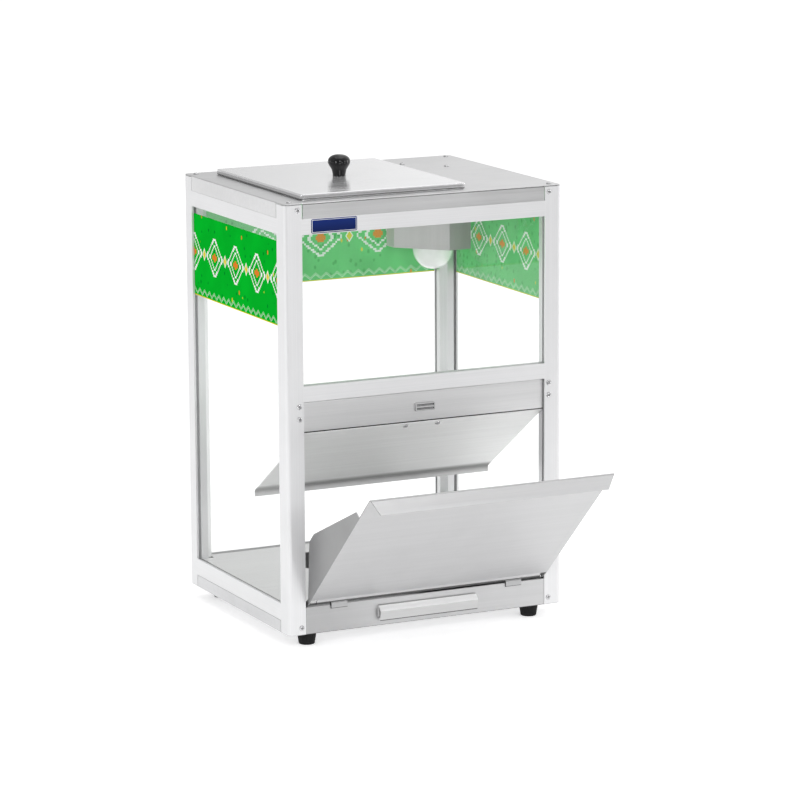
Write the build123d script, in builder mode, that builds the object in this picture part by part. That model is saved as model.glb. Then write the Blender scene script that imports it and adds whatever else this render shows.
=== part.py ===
"""Counter-top chip warmer: a glazed cabinet with a lift-off lid, a tip-out serving flap and a crumb drawer.

Millimetres, +Z up. X runs to the right as seen from the serving side, +Y runs to the rear, and the
origin lies on the standing surface, under the middle of the case.
"""
import os
from math import asin, cos, degrees, radians, sin, tan

from build123d import *

# ---- case ----
case_width = 420
case_depth = 345
case_height = 595
foot_height = 19
sheet = 1.2
running_gap = 0.3
fit_gap = 0.1
cap_edge_radius = 1
cut_overshoot = 1

# ---- corner posts: square extrusions with two glazing grooves and a screw port ----
post_side = 26
post_corner_radius = 6
glass_lip = 2.8
glass_groove = 4.6
post_groove_depth = 10
post_port_radius = 2.1
post_inner_chamfer = 8.5
post_top_gap = 0.7

# ---- rails ----
rail_depth = 14
rail_groove_depth = 7
rail_edge_break = 0.5
top_rail_height = 22
cover_flange_height = 21
mid_rail_bottom = 323.6
mid_rail_height = 21.9
base_flange_height = 17.3
bottom_rail_height = 24.2
flange_slot = 1.0

# ---- glass and printed films ----
glass_thickness = 4
glass_bite = 6.5
film_thickness = 0.25
film_height = 116
film_drop = 10
film_side_margin = 1

# ---- floor ----
floor_front_setback = 12
floor_lip_height = 3
floor_ledge_drop = 2.7
floor_corner_relief = 5
crumb_slot_width = 186
crumb_slot_depth = 92
crumb_slot_rear = 58
crumb_slot_corner = 8

# ---- screws ----
screw_head_radius = 3.75
screw_head_height = 2
screw_rim_height = 0.6
screw_shank_radius = 1.5
port_screw_radius = 2
post_screw_inset = 19.5
end_screw_inset = 10
top_screw_inset = 9
middle_screw_heights = (300.7, 318)
port_screw_length = 14
small_screw_length = 6
screw_hole_depth = 5

# ---- apron, baffle and magnetic catch ----
apron_setback = 5
apron_bottom = 281
apron_top_flange = 15
apron_return = 18
bend_radius = 1.5
baffle_slope = 34
baffle_end_gap = 1
baffle_reach = 172
baffle_lip = 9
baffle_top_gap = 2
baffle_screw_spacing = 49
baffle_screw_inset = 11
catch_width = 29
catch_height = 11
catch_corner_radius = 1.4
catch_drop = 20
catch_gap = 0.35
pole_height = 2.2
pole_spacing = 5
pole_depth = 2
pole_end_margin = 1.5

# ---- serving flap ----
flap_open_angle = 47
pivot_setback = 5.1
pivot_height = 41
flap_side_gap = 2
flap_face_setback = 0.24
flap_top = 280.9
flap_bottom = 18.2
flap_lip_out = 19.1
flap_lip_drop = 9.5
flap_lip_mitre = 12
flap_tail_out = 1.7
flap_tail_drop = 7
flap_tail_inset = 10
cheek_depth = 62
cheek_peak_low = 72.3
cheek_peak_high = 92.7
cheek_top_depth = 12.2
cheek_top = 231.5
cheek_tip_rise = 3.5
cheek_root_height = 12.5
cheek_root_depth = 6.1
cheek_corner_radius = 6
pivot_lug_radius = 3.6
pivot_pin_radius = 1.5
pivot_head_radius = 3
pivot_head_height = 1.6
pivot_head_edge = 0.5
washer_radius = 3
washer_side_gap = 0.2
stop_pin_radius = 1.5
stop_pin_reach = 9
stop_pin_angle = 36
stop_pin_length = 3.6
stop_tail_length = 8
stop_tail_half_width = 2.2
pin_seat_depth = 8
strip_recess = 1.5

# ---- crumb drawer ----
drawer_front_thickness = 1.5
drawer_front_height = 38
drawer_front_lift = 0.3
drawer_front_chamfer = 0.4
drawer_side_gap = 0.3
tray_sheet = 1
tray_top = 36
tray_inset = 30
tray_rear_inset = 45.5
tray_corner_radius = 4
tray_bend_radius = 2
tray_lift = 0.3
tab_width = 25
tab_spacing = 268.8
tab_top = 41.6
tab_low = 33
tab_front_gap = 0.3
handle_length = 150
handle_top = 29.3
handle_nose_out = 7.6
handle_nose_height = 21.4
handle_end_out = 4.6
handle_end_height = 8.5
handle_flange_low = 13
handle_root_radius = 0.6
handle_screw_spacing = 110
handle_screw_height = 20
nut_thickness = 2
nut_radius = 3
runner_foot = 11
runner_height = 12
runner_side_gap = 0.6
runner_end_gap = 4

# ---- lid ----
lid_left = 36.5
lid_width = 247.5
lid_front = 24.5
lid_depth = 290
lid_height = 7
lid_sheet = 1
lid_corner_radius = 4.5
lid_edge_radius = 1.5
lid_seat_height = 6.7
collar_gap = 1
knob_radius = 15.5
knob_height = 30
knob_middle_height = 18.4
knob_neck_radius = 10.3
knob_neck_height = 8.6
knob_foot_radius = 9.2
knob_foot_height = 0.9
knob_waist_radius = 8.8
knob_screw_radius = 2.5
knob_screw_length = 12
knob_head_radius = 4.5

# ---- lamp corner ----
housing_height = 124
housing_left_inset = 110
housing_left_wing = 21
housing_diagonal_run = 59
housing_diagonal_rise = 62
housing_flange_width = 26
housing_wing_skew = 2
housing_flange_start = 6
housing_flange_end = 97
housing_screw_start = 18.5
housing_screw_spacing = 67.6
housing_screw_offset = 14
bulb_radius = 29
bulb_right_inset = 52
bulb_rear_inset = 48
bulb_centre_drop = 128
bulb_neck_radius = 14
bulb_neck_drop = 73
bulb_shoulder_angle = 32
cap_radius = 13
cap_length = 26
cap_taper = 6.5
cap_tip_radius = 4.3
socket_radius = 20
socket_flange_radius = 23
socket_flange_height = 7
socket_bore_radius = 14.6
socket_bore_depth = 28
socket_length = 62
socket_edge = 2.4
socket_rim = 1.2

# ---- rocker switch and cable gland in the rear flange ----
switch_right_inset = 84
switch_width = 22
switch_height = 15
switch_rim = 1.6
switch_body_margin = 1.3
switch_body_depth = 13
switch_wall = 1.1
rocker_half_length = 7.4
rocker_middle = 3.4
rocker_end = 4.8
rocker_back = 3
rocker_tilt = 10
rocker_axle_radius = 1
rocker_axle_length = 0.7
rocker_crest_radius = 0.5
axle_hole_skin = 0.3
gland_right_inset = 50
gland_hex_radius = 8.4
gland_hex_height = 3.5
gland_barrel_radius = 6
gland_cap_radius = 6.8
gland_cap_height = 7
gland_cap_edge = 1.5
gland_bore_radius = 3
gland_inner_length = 7
gland_nut_height = 3

# ---- feet ----
foot_side_inset = 38
foot_front_inset = 25
foot_top_radius = 14
foot_bottom_radius = 11
foot_edge_radius = 1.5
foot_recess_radius = 5
foot_recess_depth = 9

# ---- planes and levels that the pieces share ----
half_width = case_width / 2
half_depth = case_depth / 2
base = foot_height
case_top = base + case_height
cover_under = case_top - sheet
pan_top = base + sheet
top_rail_top = case_top - cover_flange_height
top_rail_bottom = top_rail_top - top_rail_height
bottom_rail_bottom = base + base_flange_height
bottom_rail_top = bottom_rail_bottom + bottom_rail_height
floor_under = bottom_rail_top - floor_ledge_drop
mid_rail_low = base + mid_rail_bottom
mid_rail_high = mid_rail_low + mid_rail_height
glass_outer = glass_lip + (glass_groove - glass_thickness) / 2
glass_inner = glass_outer + glass_thickness
post_inner_x = half_width - post_side
post_inner_y = half_depth - post_side
flange_length_x = 2 * (post_inner_x - flange_slot)
flange_length_y = 2 * (post_inner_y - flange_slot)
pivot_y = -half_depth + pivot_setback
pivot_z = base + pivot_height
face_out = pivot_setback - flap_face_setback
cheek_outer_x = post_inner_x - flap_side_gap
cheek_inner_x = cheek_outer_x - sheet
end_screw_heights = (end_screw_inset, case_height - top_screw_inset)
post_screw_heights = (end_screw_inset, *middle_screw_heights, case_height - top_screw_inset)
slope_cos = cos(radians(baffle_slope))
slope_sin = sin(radians(baffle_slope))
flange_middle_z = (top_rail_top + cover_under) / 2


def save(builder, label):
    """Name a finished piece and write it."""
    builder.part.label = label
    export_step(builder.part, f"parts/{label}.step")


def block(x_range, y_range, z_range):
    """A square-edged block between three pairs of planes."""
    with BuildPart() as piece:
        with BuildSketch(Plane.XY.offset(z_range[0])):
            with Locations((sum(x_range) / 2, sum(y_range) / 2)):
                Rectangle(x_range[1] - x_range[0], y_range[1] - y_range[0])
        extrude(amount=z_range[1] - z_range[0])
    return piece.part


def bent_sheet(points, thickness, inner_radii, plane, length, side):
    """Sheet metal bent along a path, as long as given, half each way from the plane.

    The sheet lies to one side of the path (1 is left, -1 is right). Each bend has its inner radius on
    the inside and that radius plus the sheet on the outside.
    """
    corners = [Vector(*point) for point in points]
    runs = [(end - start).normalized() for start, end in zip(corners, corners[1:])]
    across = [Vector(-run.Y, run.X) * side * thickness for run in runs]
    far = [corners[0] + across[0]]
    for number, corner in enumerate(corners[1:-1]):
        spread = 1 + runs[number].dot(runs[number + 1])
        far.append(corner + (across[number] + across[number + 1]) * (1 / spread))
    far.append(corners[-1] + across[-1])
    with BuildPart() as piece:
        with BuildSketch(plane) as strip:
            with BuildLine():
                Polyline(*corners, *reversed(far), close=True)
            make_face()
            for number, radius in enumerate(inner_radii):
                turn = runs[number].X * runs[number + 1].Y - runs[number].Y * runs[number + 1].X
                bends_over_sheet = turn * side > 0
                for corner, is_inside in (
                    (corners[number + 1], not bends_over_sheet),
                    (far[number + 1], bends_over_sheet),
                ):
                    nearest = strip.sketch_local.vertices().sort_by_distance(corner)[0]
                    fillet(nearest, radius if is_inside else radius + thickness)
        extrude(amount=length / 2, both=True)
    return piece.part


def prism(outline, plane, amount):
    """A closed outline pushed out from its plane."""
    with BuildPart() as piece:
        with BuildSketch(plane):
            with BuildLine():
                Polyline(*outline, close=True)
            make_face()
        extrude(amount=amount)
    return piece.part


def rod(radius, plane, length):
    """A round bar that starts on a plane and runs along its normal."""
    with BuildPart() as piece:
        with BuildSketch(plane):
            Circle(radius)
        extrude(amount=length)
    return piece.part


def dome_screw(shank_radius, length, head_radius=screw_head_radius):
    """Low-domed screw: the head stands above its own XY plane and the shank runs down."""
    rise = screw_head_height - screw_rim_height
    dome_radius = (head_radius**2 + rise**2) / (2 * rise)
    dome_centre = screw_head_height - dome_radius
    half_way = (head_radius / 2, dome_centre + (dome_radius**2 - head_radius**2 / 4) ** 0.5)
    with BuildPart() as piece:
        with BuildSketch(Plane.XZ):
            with BuildLine():
                Polyline((0, screw_head_height), (0, 0), (head_radius, 0), (head_radius, screw_rim_height))
                ThreePointArc((head_radius, screw_rim_height), half_way, (0, screw_head_height))
            make_face()
        revolve(axis=Axis.Z)
        with BuildSketch(Plane.XY):
            Circle(shank_radius)
        extrude(amount=-length)
    return piece.part


def ring_section(centre):
    """The upright plane through a vertical axis, on which round pieces are drawn."""
    return Plane(origin=(centre[0], centre[1], 0), x_dir=(1, 0, 0), z_dir=(0, -1, 0))


def upright_axis(centre):
    return Axis((centre[0], centre[1], 0), (0, 0, 1))


# ---- frame ----
def front_screw_planes(side_x, side_y, heights):
    """Where the screws enter a post's front or rear face, looking out of the face."""
    x = side_x * (half_width - post_screw_inset)
    return [
        Plane(origin=(x, side_y * half_depth, base + height), x_dir=(1, 0, 0), z_dir=(0, side_y, 0))
        for height in heights
    ]


def make_post(side_x, side_y):
    def at(inward_x, inward_y):
        return (side_x * (half_width - inward_x), side_y * (half_depth - inward_y))

    groove_middle = glass_lip + glass_groove / 2
    groove_end = post_side - post_groove_depth / 2
    heights = post_screw_heights if side_y < 0 else end_screw_heights
    with BuildPart() as post:
        with BuildSketch(Plane.XY.offset(pan_top)):
            with Locations(at(post_side / 2, post_side / 2)):
                Rectangle(post_side, post_side)
                Circle(post_port_radius, mode=Mode.SUBTRACT)
            with Locations(at(groove_middle, groove_end)):
                Rectangle(glass_groove, post_groove_depth, mode=Mode.SUBTRACT)
            with Locations(at(groove_end, groove_middle)):
                Rectangle(post_groove_depth, glass_groove, mode=Mode.SUBTRACT)
        extrude(amount=cover_under - post_top_gap - pan_top)
        uprights = post.edges().filter_by(Axis.Z)
        outward = uprights.sort_by(lambda edge: side_x * edge.center().X + side_y * edge.center().Y)
        inner_corner = outward[0]
        fillet(outward[-1], post_corner_radius)
        chamfer(inner_corner, post_inner_chamfer)
        for plane in front_screw_planes(side_x, side_y, heights):
            add(rod(screw_shank_radius + fit_gap, plane, -glass_lip - glass_groove / 2), mode=Mode.SUBTRACT)
    return post


def rail_outline(low, high, groove_from_top, inner_high):
    """Section of a rail as (inward, height) points, with the glazing groove in its lower or upper side."""
    groove_far = glass_lip + glass_groove
    if groove_from_top:
        floor_of_groove = high - rail_groove_depth
        return [
            (rail_edge_break, low),
            (rail_depth, low),
            (rail_depth, inner_high),
            (groove_far, inner_high),
            (groove_far, floor_of_groove),
            (glass_lip, floor_of_groove),
            (glass_lip, high),
            (rail_edge_break, high),
            (0, high - rail_edge_break),
            (0, low + rail_edge_break),
        ]
    roof_of_groove = low + rail_groove_depth
    return [
        (rail_edge_break, low),
        (glass_lip, low),
        (glass_lip, roof_of_groove),
        (groove_far, roof_of_groove),
        (groove_far, low),
        (rail_depth, low),
        (rail_depth, inner_high),
        (rail_edge_break, high),
        (0, high - rail_edge_break),
        (0, low + rail_edge_break),
    ]


def make_cross_rail(side_y, outline):
    """A rail that runs across the case, between two posts."""
    with BuildPart() as rail:
        with BuildSketch(Plane.YZ):
            with BuildLine():
                Polyline([(side_y * (half_depth - inward), height) for inward, height in outline], close=True)
            make_face()
        extrude(amount=post_inner_x, both=True)
    return rail


def make_side_rail(side_x, outline):
    """A rail that runs from front to rear, between two posts."""
    with BuildPart() as rail:
        with BuildSketch(Plane.XZ):
            with BuildLine():
                Polyline([(side_x * (half_width - inward), height) for inward, height in outline], close=True)
            make_face()
        extrude(amount=post_inner_y, both=True)
    return rail


# ---- cover with the loading mouth ----
lid_middle = (
    -half_width + lid_left + lid_width / 2,
    -half_depth + lid_front + lid_depth / 2,
)
collar_width = lid_width - 2 * (lid_sheet + collar_gap)
collar_depth = lid_depth - 2 * (lid_sheet + collar_gap)
collar_corner_radius = lid_corner_radius - lid_sheet - collar_gap
mouth_corner_radius = collar_corner_radius - sheet
collar_top = case_top + lid_seat_height

# plan of the lamp housing's outer face, from the rear wing round to the right wing
housing_start = (half_width - housing_left_inset, half_depth - rail_depth - running_gap)
housing_turn = (housing_start[0] + housing_wing_skew, housing_start[1] - housing_left_wing)
housing_nose = (housing_turn[0] + housing_diagonal_run, housing_turn[1] - housing_diagonal_rise)
housing_end = (half_width - rail_depth - running_gap, housing_nose[1] + housing_wing_skew)
diagonal_length = (housing_diagonal_run**2 + housing_diagonal_rise**2) ** 0.5
diagonal_along = (housing_diagonal_run / diagonal_length, -housing_diagonal_rise / diagonal_length)
diagonal_out = (diagonal_along[1], -diagonal_along[0])


def on_housing(along, out):
    """A point of the plan, measured along the housing's diagonal face and out from it."""
    return (
        housing_turn[0] + along * diagonal_along[0] + out * diagonal_out[0],
        housing_turn[1] + along * diagonal_along[1] + out * diagonal_out[1],
    )


housing_screw_points = [
    on_housing(housing_screw_start + step * housing_screw_spacing, housing_screw_offset) for step in (0, 1)
]
port_points = [
    (side_x * (half_width - post_side / 2), side_y * (half_depth - post_side / 2))
    for side_x in (-1, 1)
    for side_y in (-1, 1)
]

switch_middle = (half_width - switch_right_inset, half_depth, flange_middle_z)
gland_middle = (half_width - gland_right_inset, half_depth, flange_middle_z)
switch_body_width = switch_width - 2 * switch_body_margin
switch_body_height = switch_height - 2 * switch_body_margin


def on_rear(middle, offset_out=0):
    """A plane on the rear flange, looking rearward, centred on a fitting."""
    return Plane(origin=(middle[0], middle[1] + offset_out, middle[2]), x_dir=(-1, 0, 0), z_dir=(0, 1, 0))


def cap_sheet(level, thickness_way, flange_height, sides):
    """A folded cap over the case's plan, with flanges that stand between the posts."""
    flange_far = level + thickness_way * flange_height
    z_range = (min(level, flange_far), max(level, flange_far))
    with BuildPart() as cap:
        with BuildSketch(Plane.XY.offset(level)):
            RectangleRounded(case_width, case_depth, post_corner_radius)
        extrude(amount=thickness_way * sheet)
        for side_y in [side for side in (-1, 1) if ("y", side) in sides]:
            y_pair = sorted((side_y * half_depth, side_y * (half_depth - sheet)))
            add(block((-flange_length_x / 2, flange_length_x / 2), y_pair, z_range))
        for side_x in [side for side in (-1, 1) if ("x", side) in sides]:
            x_pair = sorted((side_x * half_width, side_x * (half_width - sheet)))
            add(block(x_pair, (-flange_length_y / 2, flange_length_y / 2), z_range))
        rim = cap.edges().group_by(Axis.Z)[-1 if thickness_way < 0 else 0]
        fillet(rim, cap_edge_radius)
    return cap.part


with BuildPart() as top_cover:
    all_sides = [("x", -1), ("x", 1), ("y", -1), ("y", 1)]
    add(cap_sheet(case_top, -1, cover_flange_height - fit_gap, all_sides))
    with BuildSketch(Plane.XY.offset(cover_under)):
        with Locations(lid_middle):
            RectangleRounded(collar_width, collar_depth, collar_corner_radius)
    extrude(amount=collar_top - cover_under)
    with BuildSketch(Plane.XY.offset(cover_under)):
        with Locations(lid_middle):
            RectangleRounded(collar_width - 2 * sheet, collar_depth - 2 * sheet, mouth_corner_radius)
    extrude(amount=collar_top - cover_under, mode=Mode.SUBTRACT)
    with BuildSketch(Plane.XY.offset(cover_under)):
        with Locations(*port_points, *housing_screw_points):
            Circle(port_screw_radius + fit_gap)
    extrude(amount=sheet, mode=Mode.SUBTRACT)
    with BuildSketch(on_rear(switch_middle)):
        Rectangle(switch_body_width + 2 * fit_gap, switch_body_height + 2 * fit_gap)
    extrude(amount=-sheet, mode=Mode.SUBTRACT)
    with BuildSketch(on_rear(gland_middle)):
        Circle(gland_barrel_radius + fit_gap)
    extrude(amount=-sheet, mode=Mode.SUBTRACT)

# ---- base pan, open at the front for the drawer ----
foot_points = [
    (side_x * (half_width - foot_side_inset), side_y * (half_depth - foot_front_inset))
    for side_x in (-1, 1)
    for side_y in (-1, 1)
]
drawer_mouth_setback = drawer_front_thickness + running_gap

with BuildPart() as base_pan:
    add(cap_sheet(base, 1, base_flange_height - fit_gap, [("x", -1), ("x", 1), ("y", 1)]))
    add(
        block(
            (-post_inner_x, post_inner_x),
            (-half_depth - sheet, -half_depth + drawer_mouth_setback),
            (base, base + base_flange_height),
        ),
        mode=Mode.SUBTRACT,
    )
    with BuildSketch(Plane.XY.offset(base)):
        with Locations(*foot_points):
            Circle(port_screw_radius + fit_gap)
    extrude(amount=sheet, mode=Mode.SUBTRACT)

# ---- floor over the drawer, notched round the posts, with the crumb slot ----
floor_inset = glass_lip + glass_groove + running_gap
floor_front = -half_depth + floor_front_setback
floor_rear = half_depth - floor_inset
floor_right = half_width - floor_inset
notch_x = post_inner_x - floor_corner_relief
front_notch_y = -post_inner_y + running_gap
rear_notch_x = post_inner_x - running_gap
rear_notch_y = post_inner_y - running_gap
crumb_slot_middle = half_depth - crumb_slot_rear - crumb_slot_depth / 2

with BuildPart() as floor_plate:
    with BuildSketch(Plane.XY.offset(floor_under)):
        with BuildLine():
            Polyline(
                (-notch_x, floor_front),
                (notch_x, floor_front),
                (notch_x, front_notch_y),
                (floor_right, front_notch_y),
                (floor_right, rear_notch_y),
                (rear_notch_x, rear_notch_y),
                (rear_notch_x, floor_rear),
                (-rear_notch_x, floor_rear),
                (-rear_notch_x, rear_notch_y),
                (-floor_right, rear_notch_y),
                (-floor_right, front_notch_y),
                (-notch_x, front_notch_y),
                close=True,
            )
        make_face()
        with Locations((0, crumb_slot_middle)):
            RectangleRounded(crumb_slot_width, crumb_slot_depth, crumb_slot_corner, mode=Mode.SUBTRACT)
    extrude(amount=sheet)
    floor_top = floor_under + sheet
    lip_range = (floor_top - floor_lip_height, floor_top)
    add(block((-notch_x, notch_x), (floor_front, floor_front + sheet), lip_range))

# ---- glass and films ----
glass_low = bottom_rail_top - glass_bite
glass_high = top_rail_bottom + glass_bite
film_high = top_rail_bottom - film_drop
film_low = film_high - film_height


def make_side_pane(side_x, inward_range, reach_y, z_range):
    x_pair = sorted(side_x * (half_width - inward) for inward in inward_range)
    with BuildPart() as pane:
        add(block(x_pair, (-reach_y, reach_y), z_range))
    return pane


def make_cross_pane(side_y, inward_range, reach_x, z_range):
    y_pair = sorted(side_y * (half_depth - inward) for inward in inward_range)
    with BuildPart() as pane:
        add(block((-reach_x, reach_x), y_pair, z_range))
    return pane


# ---- apron below the middle rail ----
apron_y = -half_depth + apron_setback
apron_low = base + apron_bottom
baffle_screw_planes = [
    Plane(
        origin=(
            side * baffle_screw_spacing / 2,
            apron_y + baffle_screw_inset * slope_cos - sheet * slope_sin,
            apron_low - baffle_screw_inset * slope_sin - sheet * slope_cos,
        ),
        x_dir=(1, 0, 0),
        z_dir=(0, -slope_sin, -slope_cos),
    )
    for side in (-1, 1)
]

with BuildPart() as apron:
    add(
        bent_sheet(
            [
                (apron_y + apron_top_flange, mid_rail_low - fit_gap),
                (apron_y, mid_rail_low - fit_gap),
                (apron_y, apron_low),
                (apron_y + apron_return * slope_cos, apron_low - apron_return * slope_sin),
            ],
            sheet,
            [bend_radius, bend_radius],
            Plane.YZ,
            2 * (post_inner_x - running_gap),
            1,
        )
    )
    for plane in baffle_screw_planes:
        add(rod(screw_shank_radius + fit_gap, plane, -screw_hole_depth), mode=Mode.SUBTRACT)

# ---- baffle that turns the chips back over the floor ----
baffle_low_y = -half_depth + baffle_reach
baffle_low_z = apron_low - (baffle_low_y - apron_y) * tan(radians(baffle_slope))

with BuildPart() as baffle:
    add(
        bent_sheet(
            [
                (apron_y + baffle_top_gap * slope_cos, apron_low - baffle_top_gap * slope_sin),
                (baffle_low_y, baffle_low_z),
                (baffle_low_y, baffle_low_z - baffle_lip),
            ],
            sheet,
            [bend_radius],
            Plane.YZ,
            2 * (post_inner_x - baffle_end_gap),
            -1,
        )
    )
    for plane in baffle_screw_planes:
        add(rod(screw_shank_radius + fit_gap, plane, -screw_hole_depth), mode=Mode.SUBTRACT)

with BuildPart() as baffle_screws:
    for plane in baffle_screw_planes:
        with Locations(plane.location):
            add(dome_screw(screw_shank_radius, small_screw_length))

# ---- magnetic catch on the apron ----
catch_middle_z = apron_low + catch_drop
catch_front_y = -half_depth + flap_face_setback + sheet + catch_gap
pole_offsets = [side * pole_spacing / 2 for side in (-1, 1)]
pole_half_width = catch_width / 2 - pole_end_margin

with BuildPart() as catch_body:
    add(
        block(
            (-catch_width / 2, catch_width / 2),
            (catch_front_y + fit_gap, apron_y),
            (catch_middle_z - catch_height / 2, catch_middle_z + catch_height / 2),
        )
    )
    fillet(catch_body.edges().filter_by(Axis.Y), catch_corner_radius)
    for pole_offset in pole_offsets:
        add(
            block(
                (-pole_half_width - fit_gap, pole_half_width + fit_gap),
                (catch_front_y, catch_front_y + pole_depth + fit_gap),
                (
                    catch_middle_z + pole_offset - pole_height / 2 - fit_gap,
                    catch_middle_z + pole_offset + pole_height / 2 + fit_gap,
                ),
            ),
            mode=Mode.SUBTRACT,
        )

with BuildPart() as catch_poles:
    for pole_offset in pole_offsets:
        add(
            block(
                (-pole_half_width, pole_half_width),
                (catch_front_y, catch_front_y + pole_depth),
                (
                    catch_middle_z + pole_offset - pole_height / 2,
                    catch_middle_z + pole_offset + pole_height / 2,
                ),
            )
        )

# ---- flap pivots: infill strips in the front posts, pins, washers and stops ----
stop_pin_y = pivot_y + stop_pin_reach * cos(radians(stop_pin_angle))
stop_pin_z = pivot_z + stop_pin_reach * sin(radians(stop_pin_angle))
stop_swing = degrees(asin((stop_tail_half_width + stop_pin_radius + running_gap) / stop_pin_reach))
stop_tail_angle = stop_pin_angle - stop_swing - flap_open_angle


def out_of_post(side_x, inward, y, z):
    """A plane across the case, looking from a post towards the middle, set inward from the post's face."""
    return Plane(origin=(side_x * (post_inner_x - inward), y, z), x_dir=(0, 1, 0), z_dir=(-side_x, 0, 0))


def make_infill_strip(side_x):
    """A bar in the post's open groove, which carries the pivot pin."""
    x_pair = sorted(side_x * (post_inner_x + reach) for reach in (strip_recess, post_groove_depth - fit_gap))
    with BuildPart() as strip:
        add(
            block(
                x_pair,
                (-half_depth + glass_lip + fit_gap, -half_depth + glass_lip + glass_groove - fit_gap),
                (pan_top, mid_rail_low - fit_gap),
            )
        )
        add(
            rod(pivot_pin_radius + fit_gap, out_of_post(side_x, 0, pivot_y, pivot_z), -pin_seat_depth),
            mode=Mode.SUBTRACT,
        )
        for plane in front_screw_planes(side_x, -1, post_screw_heights[:-1]):
            add(rod(screw_shank_radius + fit_gap, plane, -screw_hole_depth), mode=Mode.SUBTRACT)
    return strip


def make_pivot_pin(side_x):
    """A shouldered pin that runs from the strip through washer and cheek, with its head inside."""
    seat = out_of_post(side_x, -pin_seat_depth, pivot_y, pivot_z)
    head_start = flap_side_gap + sheet + running_gap
    with BuildPart() as pin:
        add(rod(pivot_pin_radius, seat, pin_seat_depth + head_start))
        add(rod(pivot_head_radius, out_of_post(side_x, head_start, pivot_y, pivot_z), pivot_head_height))
        rims = pin.edges().filter_by(GeomType.CIRCLE).sort_by(Axis.X)
        fillet(rims[0 if side_x > 0 else -1], pivot_head_edge)
    return pin.part


def make_washer(side_x):
    with BuildPart() as washer:
        with BuildSketch(out_of_post(side_x, washer_side_gap, pivot_y, pivot_z)):
            Circle(washer_radius)
            Circle(pivot_pin_radius + fit_gap, mode=Mode.SUBTRACT)
        extrude(amount=flap_side_gap - 2 * washer_side_gap)
    return washer.part


with BuildPart() as flap_pins:
    for side_x in (-1, 1):
        add(make_pivot_pin(side_x))

with BuildPart() as flap_washers:
    for side_x in (-1, 1):
        add(make_washer(side_x))

with BuildPart() as flap_stop_pins:
    for side_x in (-1, 1):
        add(rod(stop_pin_radius, out_of_post(side_x, 0, stop_pin_y, stop_pin_z), stop_pin_length))

# ---- serving flap, drawn tipped out, in the plane of its cheeks: inward from the pivot, then up ----
tilt = radians(flap_open_angle)


def flap_plane(x):
    return Plane(origin=(x, pivot_y, pivot_z), x_dir=(0, cos(tilt), sin(tilt)), z_dir=(1, 0, 0))


cheek_outline = [
    (-face_out, flap_bottom),
    (-face_out, cheek_top + cheek_tip_rise),
    (cheek_top_depth - face_out, cheek_top),
    (cheek_depth - face_out, cheek_peak_high),
    (cheek_depth - face_out, cheek_peak_low),
    (cheek_root_depth - face_out, cheek_root_height),
    (pivot_lug_radius, 0),
    (-pivot_lug_radius, 0),
    (-face_out, cheek_root_height),
]


def make_cheek(side_x):
    """A side cheek of the flap: a fin that tapers to both ends, a pivot lug and a tail to meet the stop."""
    inner = min(side_x * cheek_outer_x, side_x * cheek_inner_x)
    tail_way = radians(stop_tail_angle)
    tail_end = (stop_tail_length * cos(tail_way), stop_tail_length * sin(tail_way))
    tail_middle = (tail_end[0] / 2, tail_end[1] / 2)
    with BuildPart() as cheek:
        with BuildSketch(flap_plane(inner)) as outline:
            with BuildLine():
                Polyline(*cheek_outline, close=True)
            make_face()
            fillet(outline.vertices().group_by(Axis.X)[-1], cheek_corner_radius)
            Circle(pivot_lug_radius)
            SlotCenterPoint(tail_middle, tail_end, 2 * stop_tail_half_width)
            Circle(pivot_pin_radius + fit_gap, mode=Mode.SUBTRACT)
        extrude(amount=sheet)
    return cheek.part


def flap_sheet():
    """The flap's plate with its grip lip above and its short turned edge below."""
    path = [
        (-face_out - flap_tail_out, flap_bottom - flap_tail_drop),
        (-face_out, flap_bottom),
        (-face_out, flap_top),
        (-face_out - flap_lip_out, flap_top - flap_lip_drop),
    ]
    return bent_sheet(path, sheet, [bend_radius, bend_radius], flap_plane(0), 2 * cheek_outer_x, -1)


def lip_mitre(side_x):
    """The wedge that is cut off each end of the grip lip."""
    end = side_x * (cheek_outer_x + cut_overshoot)
    edge = side_x * cheek_outer_x
    lip_start = -face_out - sheet
    lip_end = -face_out - flap_lip_out - cut_overshoot
    low = flap_top - 2 * flap_lip_drop
    high = flap_top + flap_lip_drop
    across = Plane(
        origin=(0, pivot_y - low * sin(tilt), pivot_z + low * cos(tilt)),
        x_dir=(1, 0, 0),
        z_dir=(0, -sin(tilt), cos(tilt)),
    )
    wedge = [
        (end, lip_start),
        (edge, lip_start),
        (edge - side_x * flap_lip_mitre, lip_end),
        (end, lip_end),
    ]
    return prism(wedge, across, high - low)


def tail_trim(side_x):
    """The short turned edge stops before the cheeks' lugs: this is what is cut off each end of it."""
    inner = min(side_x * (cheek_outer_x - flap_tail_inset), side_x * (cheek_outer_x + cut_overshoot))
    deep = 3 * face_out
    corner = [
        (-deep, flap_bottom),
        (deep, flap_bottom),
        (deep, -flap_bottom),
        (-deep, -flap_bottom),
    ]
    return prism(corner, flap_plane(inner), flap_tail_inset + cut_overshoot)


with BuildPart() as flap_panel:
    add(flap_sheet())
    for side_x in (-1, 1):
        add(lip_mitre(side_x), mode=Mode.SUBTRACT)
        add(tail_trim(side_x), mode=Mode.SUBTRACT)
    for side_x in (-1, 1):
        add(make_cheek(side_x))

# ---- crumb drawer: tray with two hooks, front plate and pull ----
drawer_face = -half_depth
tray_front = drawer_face + drawer_front_thickness
tray_rear = half_depth - tray_rear_inset
tray_low = pan_top + tray_lift
tray_high = base + tray_top
tray_width = case_width - 2 * tray_inset
hook_inner_top = base + tab_top - tray_sheet
handle_screw_points = [(side * handle_screw_spacing / 2, base + handle_screw_height) for side in (-1, 1)]


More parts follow.
